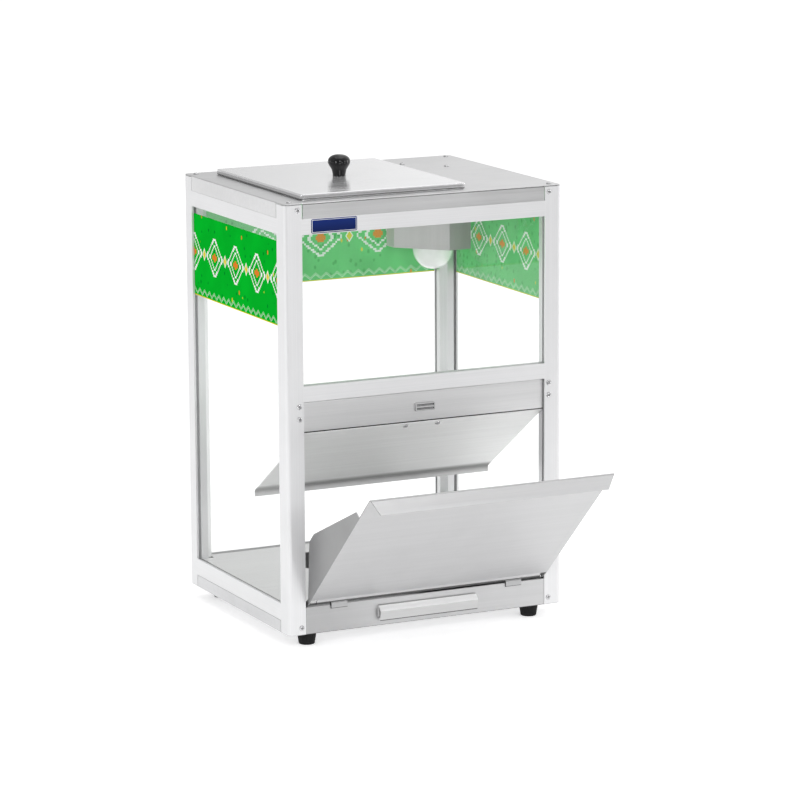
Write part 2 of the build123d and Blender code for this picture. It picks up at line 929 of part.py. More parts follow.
def forward_plane(x, y, z):
    """A plane that looks rearward into the drawer, at a point of its front."""
    return Plane(origin=(x, y, z), x_dir=(-1, 0, 0), z_dir=(0, 1, 0))


def front_holes(start, length):
    """Clearance holes for the pull's screws."""
    with BuildPart() as holes:
        for x, z in handle_screw_points:
            add(rod(screw_shank_radius + fit_gap, forward_plane(x, start, z), length))
    return holes.part


with BuildPart() as drawer_tray:
    with BuildSketch(Plane.XY.offset(tray_low)):
        with Locations((0, (tray_front + tray_rear) / 2)):
            RectangleRounded(tray_width, tray_rear - tray_front, tray_corner_radius)
    extrude(amount=tray_high - tray_low)
    fillet(drawer_tray.edges().group_by(Axis.Z)[0], tray_bend_radius)
    offset(amount=-tray_sheet, openings=drawer_tray.faces().sort_by(Axis.Z)[-1])
    for side in (-1, 1):
        add(
            bent_sheet(
                [
                    (tray_front, base + tab_low),
                    (tray_front, hook_inner_top),
                    (drawer_face - tab_front_gap, hook_inner_top),
                    (drawer_face - tab_front_gap, base + tab_low),
                ],
                tray_sheet,
                [running_gap, running_gap],
                Plane.YZ.offset(side * tab_spacing / 2),
                tab_width,
                -1,
            )
        )
    add(front_holes(tray_front, tray_sheet), mode=Mode.SUBTRACT)

with BuildPart() as drawer_front:
    with BuildSketch(forward_plane(0, drawer_face, base + (drawer_front_lift + drawer_front_height) / 2)):
        Rectangle(2 * (post_inner_x - drawer_side_gap), drawer_front_height - drawer_front_lift)
    extrude(amount=drawer_front_thickness)
    chamfer(drawer_front.faces().sort_by(Axis.Y)[0].edges(), drawer_front_chamfer)
    add(front_holes(drawer_face, drawer_front_thickness), mode=Mode.SUBTRACT)

with BuildPart() as drawer_handle:
    handle_back = drawer_face - sheet
    add(
        bent_sheet(
            [
                (handle_back, base + handle_flange_low),
                (handle_back, base + handle_top),
                (handle_back - handle_nose_out, base + handle_nose_height),
                (handle_back - handle_end_out, base + handle_end_height),
            ],
            sheet,
            [handle_root_radius, bend_radius],
            Plane.YZ,
            handle_length,
            -1,
        )
    )
    add(front_holes(handle_back, sheet), mode=Mode.SUBTRACT)

with BuildPart() as handle_screws:
    nut_end = handle_back - nut_thickness
    for x, z in handle_screw_points:
        inside = forward_plane(x, tray_front + tray_sheet, z)
        with Locations(inside.location):
            add(dome_screw(screw_shank_radius, tray_front + tray_sheet - nut_end))
        with BuildSketch(forward_plane(x, nut_end, z)):
            RegularPolygon(nut_radius, 6)
        extrude(amount=nut_thickness)


def make_runner(side_x):
    """An angle on the base pan that keeps the tray straight."""
    wall_outer = tray_width / 2 + runner_side_gap
    outline = [
        (side_x * wall_outer, pan_top),
        (side_x * (wall_outer + runner_foot), pan_top),
        (side_x * (wall_outer + runner_foot), pan_top + sheet),
        (side_x * (wall_outer + sheet), pan_top + sheet),
        (side_x * (wall_outer + sheet), pan_top + runner_height),
        (side_x * wall_outer, pan_top + runner_height),
    ]
    reach_y = post_inner_y - runner_end_gap
    with BuildPart() as runner:
        add(prism(outline, Plane.XZ.offset(-reach_y), 2 * reach_y))
    return runner


# ---- lid with its knob ----
lid_seat = collar_top + running_gap
lid_top = lid_seat + lid_sheet

with BuildPart() as lid_pan:
    with BuildSketch(Plane.XY.offset(lid_top - lid_height)):
        with Locations(lid_middle):
            RectangleRounded(lid_width, lid_depth, lid_corner_radius)
    extrude(amount=lid_height)
    fillet(lid_pan.edges().group_by(Axis.Z)[-1], lid_edge_radius)
    offset(amount=-lid_sheet, openings=lid_pan.faces().sort_by(Axis.Z)[0])
    with BuildSketch(Plane.XY.offset(lid_seat)):
        with Locations(lid_middle):
            Circle(knob_screw_radius + fit_gap)
    extrude(amount=lid_sheet, mode=Mode.SUBTRACT)

with BuildPart() as lid_knob:
    neck_top = (knob_neck_radius, lid_top + knob_neck_height)
    flare = (knob_radius - knob_neck_radius, knob_middle_height - knob_neck_height)
    with BuildSketch(ring_section(lid_middle)):
        with BuildLine():
            Polyline(
                (0, lid_top + knob_height),
                (0, lid_top + knob_screw_length),
                (knob_screw_radius + fit_gap, lid_top + knob_screw_length),
                (knob_screw_radius + fit_gap, lid_top),
                (knob_foot_radius, lid_top),
                (knob_foot_radius, lid_top + knob_foot_height),
                (knob_waist_radius, lid_top + knob_foot_height),
                neck_top,
            )
            Spline(
                neck_top,
                (knob_radius, lid_top + knob_middle_height),
                (0, lid_top + knob_height),
                tangents=[flare, (-1, 0)],
            )
        make_face()
    revolve(axis=upright_axis(lid_middle))

with BuildPart() as knob_screw:
    under_lid = Plane(origin=(*lid_middle, lid_seat), x_dir=(1, 0, 0), z_dir=(0, 0, -1))
    with Locations(under_lid.location):
        add(dome_screw(knob_screw_radius, knob_screw_length, knob_head_radius))

# ---- lamp corner ----
bulb_middle = (half_width - bulb_right_inset, half_depth - bulb_rear_inset)
bulb_z = case_top - bulb_centre_drop
neck_z = case_top - bulb_neck_drop
housing_low = case_top - housing_height
socket_low = cover_under - socket_length
cap_low = socket_low + socket_bore_depth - cap_length

with BuildPart() as lamp_housing:
    add(
        bent_sheet(
            [housing_start, housing_turn, housing_nose, housing_end],
            sheet,
            [bend_radius, bend_radius],
            Plane.XY.offset((housing_low + cover_under) / 2),
            cover_under - housing_low,
            1,
        )
    )
    with BuildSketch(Plane.XY.offset(cover_under - sheet)):
        with BuildLine():
            Polyline(
                on_housing(housing_flange_start, -sheet / 2),
                on_housing(housing_flange_end, -sheet / 2),
                on_housing(housing_flange_end, housing_flange_width),
                on_housing(housing_flange_start, housing_flange_width),
                close=True,
            )
        make_face()
        with Locations(*housing_screw_points):
            Circle(port_screw_radius + fit_gap, mode=Mode.SUBTRACT)
    extrude(amount=sheet)

with BuildPart() as lamp_socket:
    with BuildSketch(ring_section(bulb_middle)):
        with BuildLine():
            Polyline(
                (0, cover_under),
                (socket_flange_radius, cover_under),
                (socket_flange_radius, cover_under - socket_flange_height),
                (socket_radius, cover_under - socket_flange_height - socket_edge),
                (socket_radius, socket_low + socket_edge),
                (socket_radius - socket_rim, socket_low),
                (socket_bore_radius, socket_low),
                (socket_bore_radius, socket_low + socket_bore_depth),
                (0, socket_low + socket_bore_depth),
                close=True,
            )
        make_face()
    revolve(axis=upright_axis(bulb_middle))

with BuildPart() as bulb_cap:
    with BuildSketch(ring_section(bulb_middle)):
        with BuildLine():
            Polyline(
                (0, cap_low),
                (cap_radius, cap_low),
                (cap_radius, cap_low + cap_length - cap_taper),
                (cap_tip_radius, cap_low + cap_length),
                (0, cap_low + cap_length),
                close=True,
            )
        make_face()
    revolve(axis=upright_axis(bulb_middle))

with BuildPart() as bulb_glass:
    shoulder = radians(bulb_shoulder_angle)
    shoulder_point = (bulb_radius * cos(shoulder), bulb_z + bulb_radius * sin(shoulder))
    belly = radians(bulb_shoulder_angle - 90) / 2
    with BuildSketch(ring_section(bulb_middle)):
        with BuildLine():
            ThreePointArc(
                (0, bulb_z - bulb_radius),
                (bulb_radius * cos(belly), bulb_z + bulb_radius * sin(belly)),
                shoulder_point,
            )
            Spline(
                shoulder_point,
                (bulb_neck_radius, neck_z),
                tangents=[(-sin(shoulder), cos(shoulder)), (0, 1)],
            )
            Polyline(
                (bulb_neck_radius, neck_z),
                (cap_radius, cap_low),
                (0, cap_low),
                (0, bulb_z - bulb_radius),
            )
        make_face()
    revolve(axis=upright_axis(bulb_middle))

# ---- rocker switch ----
switch_z = flange_middle_z
well_half_length = switch_body_width / 2 - switch_wall
well_half_height = switch_body_height / 2 - switch_wall
rocker_axis_y = half_depth - rocker_middle + switch_rim
rocker_half_height = well_half_height - running_gap

with BuildPart() as switch_bezel:
    with BuildSketch(on_rear(switch_middle)):
        RectangleRounded(switch_width, switch_height, switch_rim)
    extrude(amount=switch_rim)
    with BuildSketch(on_rear(switch_middle)):
        Rectangle(switch_body_width, switch_body_height)
    extrude(amount=-switch_body_depth)
    with BuildSketch(on_rear(switch_middle, switch_rim)):
        Rectangle(2 * well_half_length, 2 * well_half_height)
    extrude(amount=-switch_body_depth, mode=Mode.SUBTRACT)
    axle_hole_low = switch_z - switch_body_height / 2 + axle_hole_skin
    axle_hole_plane = Plane((switch_middle[0], rocker_axis_y, axle_hole_low))
    with BuildSketch(axle_hole_plane):
        Circle(rocker_axle_radius + fit_gap)
    extrude(amount=switch_body_height - 2 * axle_hole_skin, mode=Mode.SUBTRACT)

with BuildPart() as switch_rocker:
    lean = radians(rocker_tilt)
    rocker_plane = Plane(
        origin=(switch_middle[0], rocker_axis_y, switch_z - rocker_half_height),
        x_dir=(cos(lean), sin(lean), 0),
        z_dir=(0, 0, 1),
    )
    with BuildSketch(rocker_plane):
        with BuildLine():
            Polyline(
                (-rocker_half_length, rocker_end),
                (0, rocker_middle),
                (rocker_half_length, rocker_end),
                (rocker_half_length - rocker_axle_radius, -rocker_back),
                (-rocker_half_length + rocker_axle_radius, -rocker_back),
                close=True,
            )
        make_face()
    extrude(amount=2 * rocker_half_height)
    fillet(switch_rocker.edges().filter_by(Axis.Z).sort_by(Axis.Y)[-1], rocker_crest_radius)
    with BuildSketch(rocker_plane.offset(-rocker_axle_length)):
        Circle(rocker_axle_radius)
    extrude(amount=2 * (rocker_half_height + rocker_axle_length))

# ---- cable gland, where the supply cable enters ----
with BuildPart() as cable_gland:
    with BuildSketch(on_rear(gland_middle)):
        RegularPolygon(gland_hex_radius, 6)
    extrude(amount=gland_hex_height)
    with BuildSketch(on_rear(gland_middle, gland_hex_height)):
        Circle(gland_cap_radius)
    extrude(amount=gland_cap_height)
    fillet(cable_gland.edges().group_by(Axis.Y)[-1], gland_cap_edge)
    with BuildSketch(on_rear(gland_middle)):
        Circle(gland_barrel_radius)
    extrude(amount=-gland_inner_length)
    with BuildSketch(on_rear(gland_middle, gland_hex_height + gland_cap_height)):
        Circle(gland_bore_radius)
    extrude(amount=-(gland_hex_height + gland_cap_height + gland_inner_length), mode=Mode.SUBTRACT)

with BuildPart() as gland_nut:
    with BuildSketch(on_rear(gland_middle, -sheet)):
        RegularPolygon(gland_hex_radius, 6)
        Circle(gland_barrel_radius + fit_gap, mode=Mode.SUBTRACT)
    extrude(amount=-gland_nut_height)


# ---- feet ----
def make_foot(centre):
    with BuildPart() as foot:
        with BuildSketch(ring_section(centre)):
            with BuildLine():
                Polyline(
                    (foot_recess_radius, 0),
                    (foot_bottom_radius, 0),
                    (foot_top_radius, base),
                    (screw_shank_radius + 2 * fit_gap, base),
                    (screw_shank_radius + 2 * fit_gap, foot_recess_depth),
                    (foot_recess_radius, foot_recess_depth),
                    close=True,
                )
            make_face()
        revolve(axis=upright_axis(centre))
        rims = foot.edges().filter_by(GeomType.CIRCLE).sort_by(SortBy.RADIUS)
        fillet(rims[-2:], foot_edge_radius)
    return foot


# ---- groups of screws ----
with BuildPart() as foot_screws:
    for centre in foot_points:
        recess = Plane(origin=(*centre, foot_recess_depth), x_dir=(1, 0, 0), z_dir=(0, 0, -1))
        with Locations(recess.location):
            add(dome_screw(screw_shank_radius, pan_top - foot_recess_depth))

with BuildPart() as cover_screws:
    for centre in port_points:
        with Locations(Plane(origin=(*centre, case_top)).location):
            add(dome_screw(port_screw_radius, port_screw_length))
    for centre in housing_screw_points:
        with Locations(Plane(origin=(*centre, case_top)).location):
            add(dome_screw(port_screw_radius, small_screw_length))

with BuildPart() as post_screws:
    for side_x in (-1, 1):
        for side_y, heights in ((-1, post_screw_heights), (1, end_screw_heights)):
            for plane in front_screw_planes(side_x, side_y, heights):
                with Locations(plane.location):
                    add(dome_screw(screw_shank_radius, glass_lip))

# ---- write every piece ----
os.makedirs("parts", exist_ok=True)

side_names = {-1: "left", 1: "right"}
end_names = {-1: "front", 1: "rear"}
top_outline = rail_outline(top_rail_bottom, top_rail_top, False, top_rail_top)
middle_outline = rail_outline(mid_rail_low, mid_rail_high, True, mid_rail_high)
bottom_outline = rail_outline(bottom_rail_bottom, bottom_rail_top, True, floor_under)
glass_range = (glass_outer, glass_inner)
film_range = (glass_outer - film_thickness, glass_outer)
pane_reach_x = post_inner_x + glass_bite
pane_reach_y = post_inner_y + glass_bite

for side_y, end_name in end_names.items():
    save(make_cross_rail(side_y, top_outline), f"rail_top_{end_name}")
    for side_x, side_name in side_names.items():
        save(make_post(side_x, side_y), f"post_{end_name}_{side_name}")
        foot_centre = (side_x * (half_width - foot_side_inset), side_y * (half_depth - foot_front_inset))
        save(make_foot(foot_centre), f"foot_{end_name}_{side_name}")
save(make_cross_rail(-1, middle_outline), "rail_middle_front")
save(make_cross_rail(1, bottom_outline), "rail_bottom_rear")
save(make_cross_pane(-1, glass_range, pane_reach_x, (mid_rail_high - glass_bite, glass_high)), "glass_front")
save(make_cross_pane(1, glass_range, pane_reach_x, (glass_low, glass_high)), "glass_rear")
save(make_cross_pane(1, film_range, post_inner_x - film_side_margin, (film_low, film_high)), "film_rear")
for side_x, side_name in side_names.items():
    save(make_side_rail(side_x, top_outline), f"rail_top_{side_name}")
    save(make_side_rail(side_x, bottom_outline), f"rail_bottom_{side_name}")
    save(make_side_pane(side_x, glass_range, pane_reach_y, (glass_low, glass_high)), f"glass_{side_name}")
    film = make_side_pane(side_x, film_range, post_inner_y - film_side_margin, (film_low, film_high))
    save(film, f"film_{side_name}")
    save(make_infill_strip(side_x), f"infill_strip_{side_name}")
    save(make_runner(side_x), f"tray_runner_{side_name}")

save(top_cover, "top_cover")
save(base_pan, "base_pan")
save(floor_plate, "floor_plate")
save(apron, "apron")
save(baffle, "baffle")
save(baffle_screws, "baffle_screws")
save(catch_body, "catch_body")
save(catch_poles, "catch_poles")
save(flap_pins, "flap_pins")
save(flap_washers, "flap_washers")
save(flap_stop_pins, "flap_stop_pins")
save(flap_panel, "flap_panel")
save(drawer_tray, "drawer_tray")
save(drawer_front, "drawer_front")
save(drawer_handle, "drawer_handle")
save(handle_screws, "handle_screws")
save(lid_pan, "lid_pan")
save(lid_knob, "lid_knob")
save(knob_screw, "knob_screw")
save(lamp_housing, "lamp_housing")
save(lamp_socket, "lamp_socket")
save(bulb_cap, "bulb_cap")
save(bulb_glass, "bulb_glass")
save(switch_bezel, "switch_bezel")
save(switch_rocker, "switch_rocker")
save(cable_gland, "cable_gland")
save(gland_nut, "gland_nut")
save(foot_screws, "foot_screws")
save(cover_screws, "cover_screws")
save(post_screws, "post_screws")
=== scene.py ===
"""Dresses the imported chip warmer: satin extrusions, brushed sheet, glass, printed film, screws and lamp.

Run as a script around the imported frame. Lengths are metres in the frame's own axes, and the
patterns inside the materials are worked in millimetres. The front of the cabinet faces -Y.
"""

import math
import bmesh
import bpy
import numpy as np
from bpy.props import (
    FloatProperty,
    FloatVectorProperty,
    IntProperty,
    PointerProperty,
)
from bpy.types import Operator, Panel, PropertyGroup
from mathutils import Matrix, Vector


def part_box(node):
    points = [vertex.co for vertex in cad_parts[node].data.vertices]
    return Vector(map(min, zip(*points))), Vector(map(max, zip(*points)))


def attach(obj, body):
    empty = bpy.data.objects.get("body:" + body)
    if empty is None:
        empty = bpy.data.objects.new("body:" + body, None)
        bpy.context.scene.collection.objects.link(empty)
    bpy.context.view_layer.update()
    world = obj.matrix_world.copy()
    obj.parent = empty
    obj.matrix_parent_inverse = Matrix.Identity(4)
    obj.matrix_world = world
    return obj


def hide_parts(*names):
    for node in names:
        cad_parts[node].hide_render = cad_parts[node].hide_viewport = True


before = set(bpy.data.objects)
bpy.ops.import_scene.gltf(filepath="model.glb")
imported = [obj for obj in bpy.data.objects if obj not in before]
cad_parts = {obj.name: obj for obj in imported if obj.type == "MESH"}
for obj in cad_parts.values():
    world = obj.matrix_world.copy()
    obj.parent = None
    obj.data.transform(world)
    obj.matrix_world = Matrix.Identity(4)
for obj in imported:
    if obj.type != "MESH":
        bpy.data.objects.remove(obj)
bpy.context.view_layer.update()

bl_info = {
    "name": "Chip warmer dressing",
    "version": (1, 0, 0),
    "blender": (4, 5, 0),
    "location": "3D View > Sidebar > Warmer",
    "description": "Finishes and fittings for the chip warmer",
    "category": "Object",
}

MM = 0.001
X_AXIS, Y_AXIS, Z_AXIS = range(3)
BLACK = (0, 0, 0)


def colour_property(name, text, default):
    """A linear colour a user may change."""
    return FloatVectorProperty(name=name, description=text, default=default, size=3, min=0, max=1, subtype="COLOR")


def length_property(name, text, default):
    """A length in metres, shown in the scene's unit."""
    return FloatProperty(name=name, description=text, default=default, min=0, unit="LENGTH", precision=5)


def share_property(name, text, default):
    """A share from 0 to 1."""
    return FloatProperty(name=name, description=text, default=default, min=0, max=1, subtype="FACTOR")


class MetalFinish(PropertyGroup):
    extrusion: colour_property("Extrusion", "Satin anodised posts and rails", (0.82, 0.82, 0.83))
    sheet: colour_property("Sheet", "Brushed sheet of the case and apron", (0.72, 0.72, 0.725))
    # low_sheet, apron, hook, base, baffle, inner_floor and pull are lighter and darker copies of the one brushed sheet:
    # painted light and shade, each toned for how light falls on its piece.
    low_sheet: colour_property("Low sheet", "Darker sheet of the flap and drawer", (0.57, 0.57, 0.575))
    apron: colour_property("Apron", "Sheet of the apron", (0.80, 0.80, 0.805))
    hook: colour_property("Tray", "Sheet of the drawer tray and its hooks", (0.47, 0.47, 0.475))
    infill: colour_property("Infill", "Dark anodised infill strips", (0.16, 0.16, 0.165))
    base: colour_property("Base", "Sheet of the base pan", (0.62, 0.62, 0.63))
    baffle: colour_property("Baffle", "Pale rolled sheet of the baffle", (0.90, 0.90, 0.90))
    housing: colour_property("Housing", "Painted lamp housing", (0.60, 0.565, 0.59))
    inner_floor: colour_property("Inner floor", "Sheet of the floor over the drawer", (0.80, 0.80, 0.80))
    pull: colour_property("Pull", "Brighter sheet of the drawer pull", (0.95, 0.95, 0.95))
    lid: colour_property("Lid", "Polished lid", (0.92, 0.92, 0.93))
    screw: colour_property("Screw", "Plated screw heads", (0.66, 0.66, 0.67))
    # recess is painted shade: the screws' cross recess and rim made darker.
    recess: colour_property("Recess", "Inside of the cross recess and the rim", (0.36, 0.36, 0.365))
    extrusion_roughness: share_property("Extrusion roughness", "Of the satin extrusions", 0.34)
    sheet_roughness: share_property("Sheet roughness", "Of the brushed sheet", 0.36)
    lid_roughness: share_property("Lid roughness", "Of the polished lid", 0.2)


class PrintDesign(PropertyGroup):
    ground: colour_property("Ground", "Printed ground colour", (0.002, 0.51, 0.026))
    fleck: colour_property("Fleck", "Dark flecks in the ground", (0.0, 0.20, 0.02))
    ornament: colour_property("Ornament", "Woven ornament", (0.88, 0.92, 0.88))
    yellow: colour_property("Yellow", "Zigzag and bottom edge", (0.78, 0.66, 0.04))
    orange: colour_property("Orange", "Warm confetti", (0.80, 0.22, 0.03))
    # back is partly the print's own paler back and partly painted light; back_light is a painted glow on the film's
    # back, standing in for daylight through it.
    back: colour_property("Back", "Ground of the print seen from its back", (0.165, 0.64, 0.225))
    back_share: share_property("Back share", "How far the other inks are drawn to the back's ground", 0.22)
    back_light: share_property("Back light", "Daylight that comes through the film to its back", 0.25)
    zigzag_step: length_property("Zigzag step", "Half a wave of the zigzag", 0.0085)
    side_cell: length_property("Side ornament", "Width of an ornament on the side films", 0.073)
    rear_cell: length_property("Rear ornament", "Width of an ornament on the rear film", 0.0915)
    sticker: colour_property("Sticker", "Plain sticker on the front rail", (0.005, 0.018, 0.12))
    sticker_width: length_property("Sticker width", "Along the rail", 0.068)
    sticker_height: length_property("Sticker height", "Across the rail", 0.0195)


class Moulding(PropertyGroup):
    knob: colour_property("Knob", "Glossy lid knob", (0.006, 0.006, 0.007))
    rubber: colour_property("Rubber", "Feet", (0.013, 0.013, 0.0135))
    nylon: colour_property("Nylon", "Gland and washers", (0.018, 0.018, 0.019))
    switch: colour_property("Switch", "Switch body", (0.012, 0.012, 0.013))
    catch: colour_property("Catch", "Catch body", (0.44, 0.44, 0.445))
    ceramic: colour_property("Ceramic", "Lamp socket", (0.80, 0.79, 0.76))
    lamp: colour_property("Lamp glass", "Opal lamp", (0.95, 0.95, 0.95))


class Fastener(PropertyGroup):
    spokes: IntProperty(name="Spokes", description="Points around a screw head", default=48, min=16, max=96)
    rings: IntProperty(name="Rings", description="Rings from the middle of a head to its rim", default=16, min=6, max=40)
    cross_width: share_property("Cross width", "Width of a recess arm as a share of the head radius", 0.24)
    cross_reach: share_property("Cross reach", "Reach of a recess arm as a share of the head radius", 0.62)
    cross_depth: share_property("Cross depth", "Depth of the recess as a share of the head height", 0.72)


class Stage(PropertyGroup):
    floor: colour_property("Floor", "Pale studio floor", (0.86, 0.86, 0.86))
    floor_size: length_property("Floor size", "Side of the floor", 24.0)
    floor_front: length_property("Floor front", "How far the floor reaches in front of the cabinet", 1.4)
    floor_lift: share_property("Floor lift", "Added to the floor where it's looked at", 0.44)
    ambient: share_property("Ambient", "Room light on matt surfaces", 0.74)
    front_shade: share_property("Front shade", "How bright the room looks towards the camera", 0.31)
    side_shade: share_property("Side shade", "How bright the room looks left of the back panel", 0.52)
    panel_edge: FloatProperty(name="Panel edge", description="Where the bright back panel begins", default=0.44,
                              unit="ROTATION")
    lens: FloatProperty(name="Lens", description="Focal length in mm", default=173.7328, min=1)


# ---------------------------------------------------------------- nodes


class Graph:
    """One material's node tree, built with short calls that take numbers or sockets."""

    def __init__(self, name):
        self.material = bpy.data.materials.new(name)
        self.material.use_nodes = True
        self.tree = self.material.node_tree
        self.tree.nodes.clear()
        self.out = self.add("OutputMaterial")

    def add(self, kind, **settings):
        node = self.tree.nodes.new("ShaderNode" + kind)
        for key, value in settings.items():
            setattr(node, key, value)
        return node

    def feed(self, socket, value):
        """Links a socket, or sets a plain value on it."""
        if isinstance(value, bpy.types.NodeSocket):
            self.tree.links.new(value, socket)
        elif socket.type == "RGBA" and len(value) == 3:
            socket.default_value = (*value, 1)
        else:
            socket.default_value = value

    def math(self, operation, *values, clamp=False):
        node = self.add("Math", operation=operation, use_clamp=clamp)
        for socket, value in zip(node.inputs, values):
            self.feed(socket, value)
        return node.outputs[0]

    def times(self, a, b):
        return self.math("MULTIPLY", a, b)

    def plus(self, a, b):
        return self.math("ADD", a, b)

    def blend(self, share, a, b):
        """Colour a at share 0, colour b at share 1."""
        node = self.add("Mix", data_type="RGBA", clamp_factor=True)
        self.feed(node.inputs[0], share)
        self.feed(node.inputs[6], a)
        self.feed(node.inputs[7], b)
        return node.outputs[2]

    def span(self, value, low, high, out_low=0.0, out_high=1.0):
        """Value taken from low..high to out_low..out_high, smoothly and held at both ends."""
        node = self.add("MapRange", interpolation_type="SMOOTHSTEP")
        for socket, number in zip(node.inputs, (value, low, high, out_low, out_high)):
            self.feed(socket, number)
        return node.outputs[0]

    def place(self, scale=(1, 1, 1), turn=(0, 0, 0)):
        """The piece's own coordinates in mm, stretched and turned."""
        spot = self.add("TexCoord").outputs["Object"]
        node = self.add("Mapping")
        self.feed(node.inputs["Vector"], spot)
        node.inputs["Scale"].default_value = [s / MM for s in scale]
        node.inputs["Rotation"].default_value = turn
        return node.outputs[0]

    def parts(self, vector):
        """The x, y and z of a vector."""
        node = self.add("SeparateXYZ")
        self.feed(node.inputs[0], vector)
        return node.outputs

    def grey(self, value):
        """A grey of this value."""
        node = self.add("CombineColor")
        for socket in node.inputs:
            self.feed(socket, value)
        return node.outputs[0]

    def looked_at(self):
        """1 where a ray comes from the camera, a mirror or glass."""
        path = self.add("LightPath").outputs
        seen = self.math("MAXIMUM", path["Is Camera Ray"], path["Is Glossy Ray"])
        return self.math("MAXIMUM", seen, path["Is Transmission Ray"])

    def noise(self, vector, detail=2.0, roughness=0.5):
        node = self.add("TexNoise")
        self.feed(node.inputs["Vector"], vector)
        node.inputs["Scale"].default_value = 1
        node.inputs["Detail"].default_value = detail
        node.inputs["Roughness"].default_value = roughness
        return node.outputs[0]

    def cells(self, vector):
        """Scattered points: distance to the nearest, and its random colour's parts."""
        node = self.add("TexVoronoi", feature="F1")
        self.feed(node.inputs["Vector"], vector)
        node.inputs["Scale"].default_value = 1
        parts = self.add("SeparateColor")
        self.feed(parts.inputs[0], node.outputs["Color"])
        return node.outputs["Distance"], parts.outputs

    def bump(self, height, distance, strength=1.0, below=None):
        node = self.add("Bump")
        self.feed(node.inputs["Height"], height)
        node.inputs["Distance"].default_value = distance
        node.inputs["Strength"].default_value = strength
        if below is not None:
            self.feed(node.inputs["Normal"], below)
        return node.outputs[0]

    def finish(self, **sockets):
        """A Principled shader with these sockets, on the output."""
        node = self.add("BsdfPrincipled")
        for name, value in sockets.items():
            self.feed(node.inputs[name.replace("_", " ")], value)
        self.tree.links.new(node.outputs[0], self.out.inputs[0])
        return self.material


def toned(colour, factor):
    """The colour made lighter or darker."""
    return tuple(min(1.0, part * factor) for part in colour)


def along(axis, lengthwise, across):
    """A stretch that is slow along one axis and quick across it."""
    return tuple(lengthwise if i == axis else across for i in range(3))


def fading(axis, start, end, share):
    """A mark: painted shade, darker by share up to start, fading out at end, both in metres along an axis."""
    def mark(g, tone):
        spot = g.parts(g.place())[axis]
        return g.blend(g.span(spot, start / MM, end / MM, share, 0.0), tone, BLACK)
    return mark


def facing(axis, sign, level, share):
    """A mark: painted shade, darker by share where the surface faces along an axis, to one side or (sign 0) to both."""
    def mark(g, tone):
        side = g.parts(g.add("TexCoord").outputs["Normal"])[axis]
        side = g.times(side, sign) if sign else g.math("ABSOLUTE", side)
        return g.blend(g.times(g.math("GREATER_THAN", side, level), share), tone, BLACK)
    return mark


def shade_line(share, **ranges):
    """A mark: a painted shade line, darker by share inside ranges of x, y and z, each (low, high) in metres."""
    def mark(g, tone):
        spot = g.parts(g.place())
        dark = share
        for letter, (low, high) in ranges.items():
            near = g.math("COMPARE", spot["xyz".index(letter)], (low + high) / 2 / MM, (high - low) / 2 / MM)
            dark = g.times(dark, near)
        return g.blend(dark, tone, BLACK)
    return mark


def band(axis, middle, reach, share):
    """A mark: painted shade, darker by share along a line, fading out on both sides of it."""
    def mark(g, tone):
        off = g.math("ABSOLUTE", g.math("SUBTRACT", g.parts(g.place())[axis], middle / MM))
        return g.blend(g.span(off, 0.0, reach / MM, share, 0.0), tone, BLACK)
    return mark


def brushed(name, colour, roughness, grain, depth=0.00002, contrast=0.05, metal=1.0, shine=0.5, marks=(), glow=0.0):
    """Sheet brushed along one axis: fine scratches, broad bands, faint handling marks and given marks of painted shade;
    glow is painted light, an emission in the sheet's own tone.
    """
    g = Graph(name)
    fine = g.noise(g.place(along(grain, 0.012, 2.6)), 3.0, 0.6)
    band = g.noise(g.place(along(grain, 0.003, 0.16)), 2.0)
    smear = g.noise(g.place((0.011, 0.011, 0.011)), 3.0, 0.55)
    streak = g.plus(g.times(fine, 0.55), g.times(band, 0.45))
    tone = g.blend(g.span(streak, 0.3, 0.7), toned(colour, 1 - contrast), toned(colour, 1 + contrast))
    tone = g.blend(g.span(smear, 0.45, 0.75, 0.0, 0.35), tone, toned(colour, 0.93))
    for mark in marks:
        tone = mark(g, tone)
    rough = g.plus(g.span(streak, 0.3, 0.7, roughness - 0.05, roughness + 0.05), g.span(smear, 0.4, 0.8, 0.0, 0.06))
    normal = g.bump(fine, depth, 0.35)
    return g.finish(Base_Color=tone, Metallic=metal, Roughness=rough, Normal=normal, Specular_IOR_Level=shine,
                    Emission_Color=tone, Emission_Strength=glow)


def satin(name, colour, roughness, run):
    """Anodised extrusion: die lines along its run under a fine etched bloom."""
    g = Graph(name)
    die = g.noise(g.place(along(run, 0.0015, 0.9)), 2.0)
    etch = g.noise(g.place((3.5, 3.5, 3.5)), 2.0)
    cloud = g.noise(g.place((0.02, 0.02, 0.02)), 2.0)
    tone = g.blend(g.span(die, 0.3, 0.7), toned(colour, 0.975), toned(colour, 1.025))
    tone = g.blend(g.span(cloud, 0.35, 0.75, 0.0, 0.3), tone, toned(colour, 0.95))
    rough = g.plus(g.span(etch, 0.3, 0.7, roughness - 0.04, roughness + 0.04), g.span(cloud, 0.3, 0.8, 0.0, 0.04))
    normal = g.bump(die, 0.00001, 0.3, g.bump(etch, 0.000006, 0.4))
    return g.finish(Base_Color=tone, Metallic=0.45, Roughness=rough, Normal=normal, Specular_IOR_Level=0.5)


def moulded(name, colour, roughness, pitch, depth, shine=0.5, mottle=0.06):
    """Moulded plastic or rubber: fine skin texture, dust and scuffs."""
    g = Graph(name)
    skin = g.noise(g.place((pitch, pitch, pitch)), 3.0, 0.6)
    dust = g.noise(g.place((0.12, 0.12, 0.12)), 4.0, 0.6)
    tone = g.blend(g.span(dust, 0.45, 0.8, 0.0, 0.5), colour, tuple(min(1.0, c * 1.5 + 0.004) for c in colour))
    rough = g.plus(g.span(dust, 0.35, 0.75, roughness - mottle / 2, roughness + mottle), g.times(skin, mottle * 0.7))
    normal = g.bump(skin, depth, 0.5)
    return g.finish(
        Base_Color=tone,
        Roughness=rough,
        Normal=normal,
        Specular_IOR_Level=shine,
    )


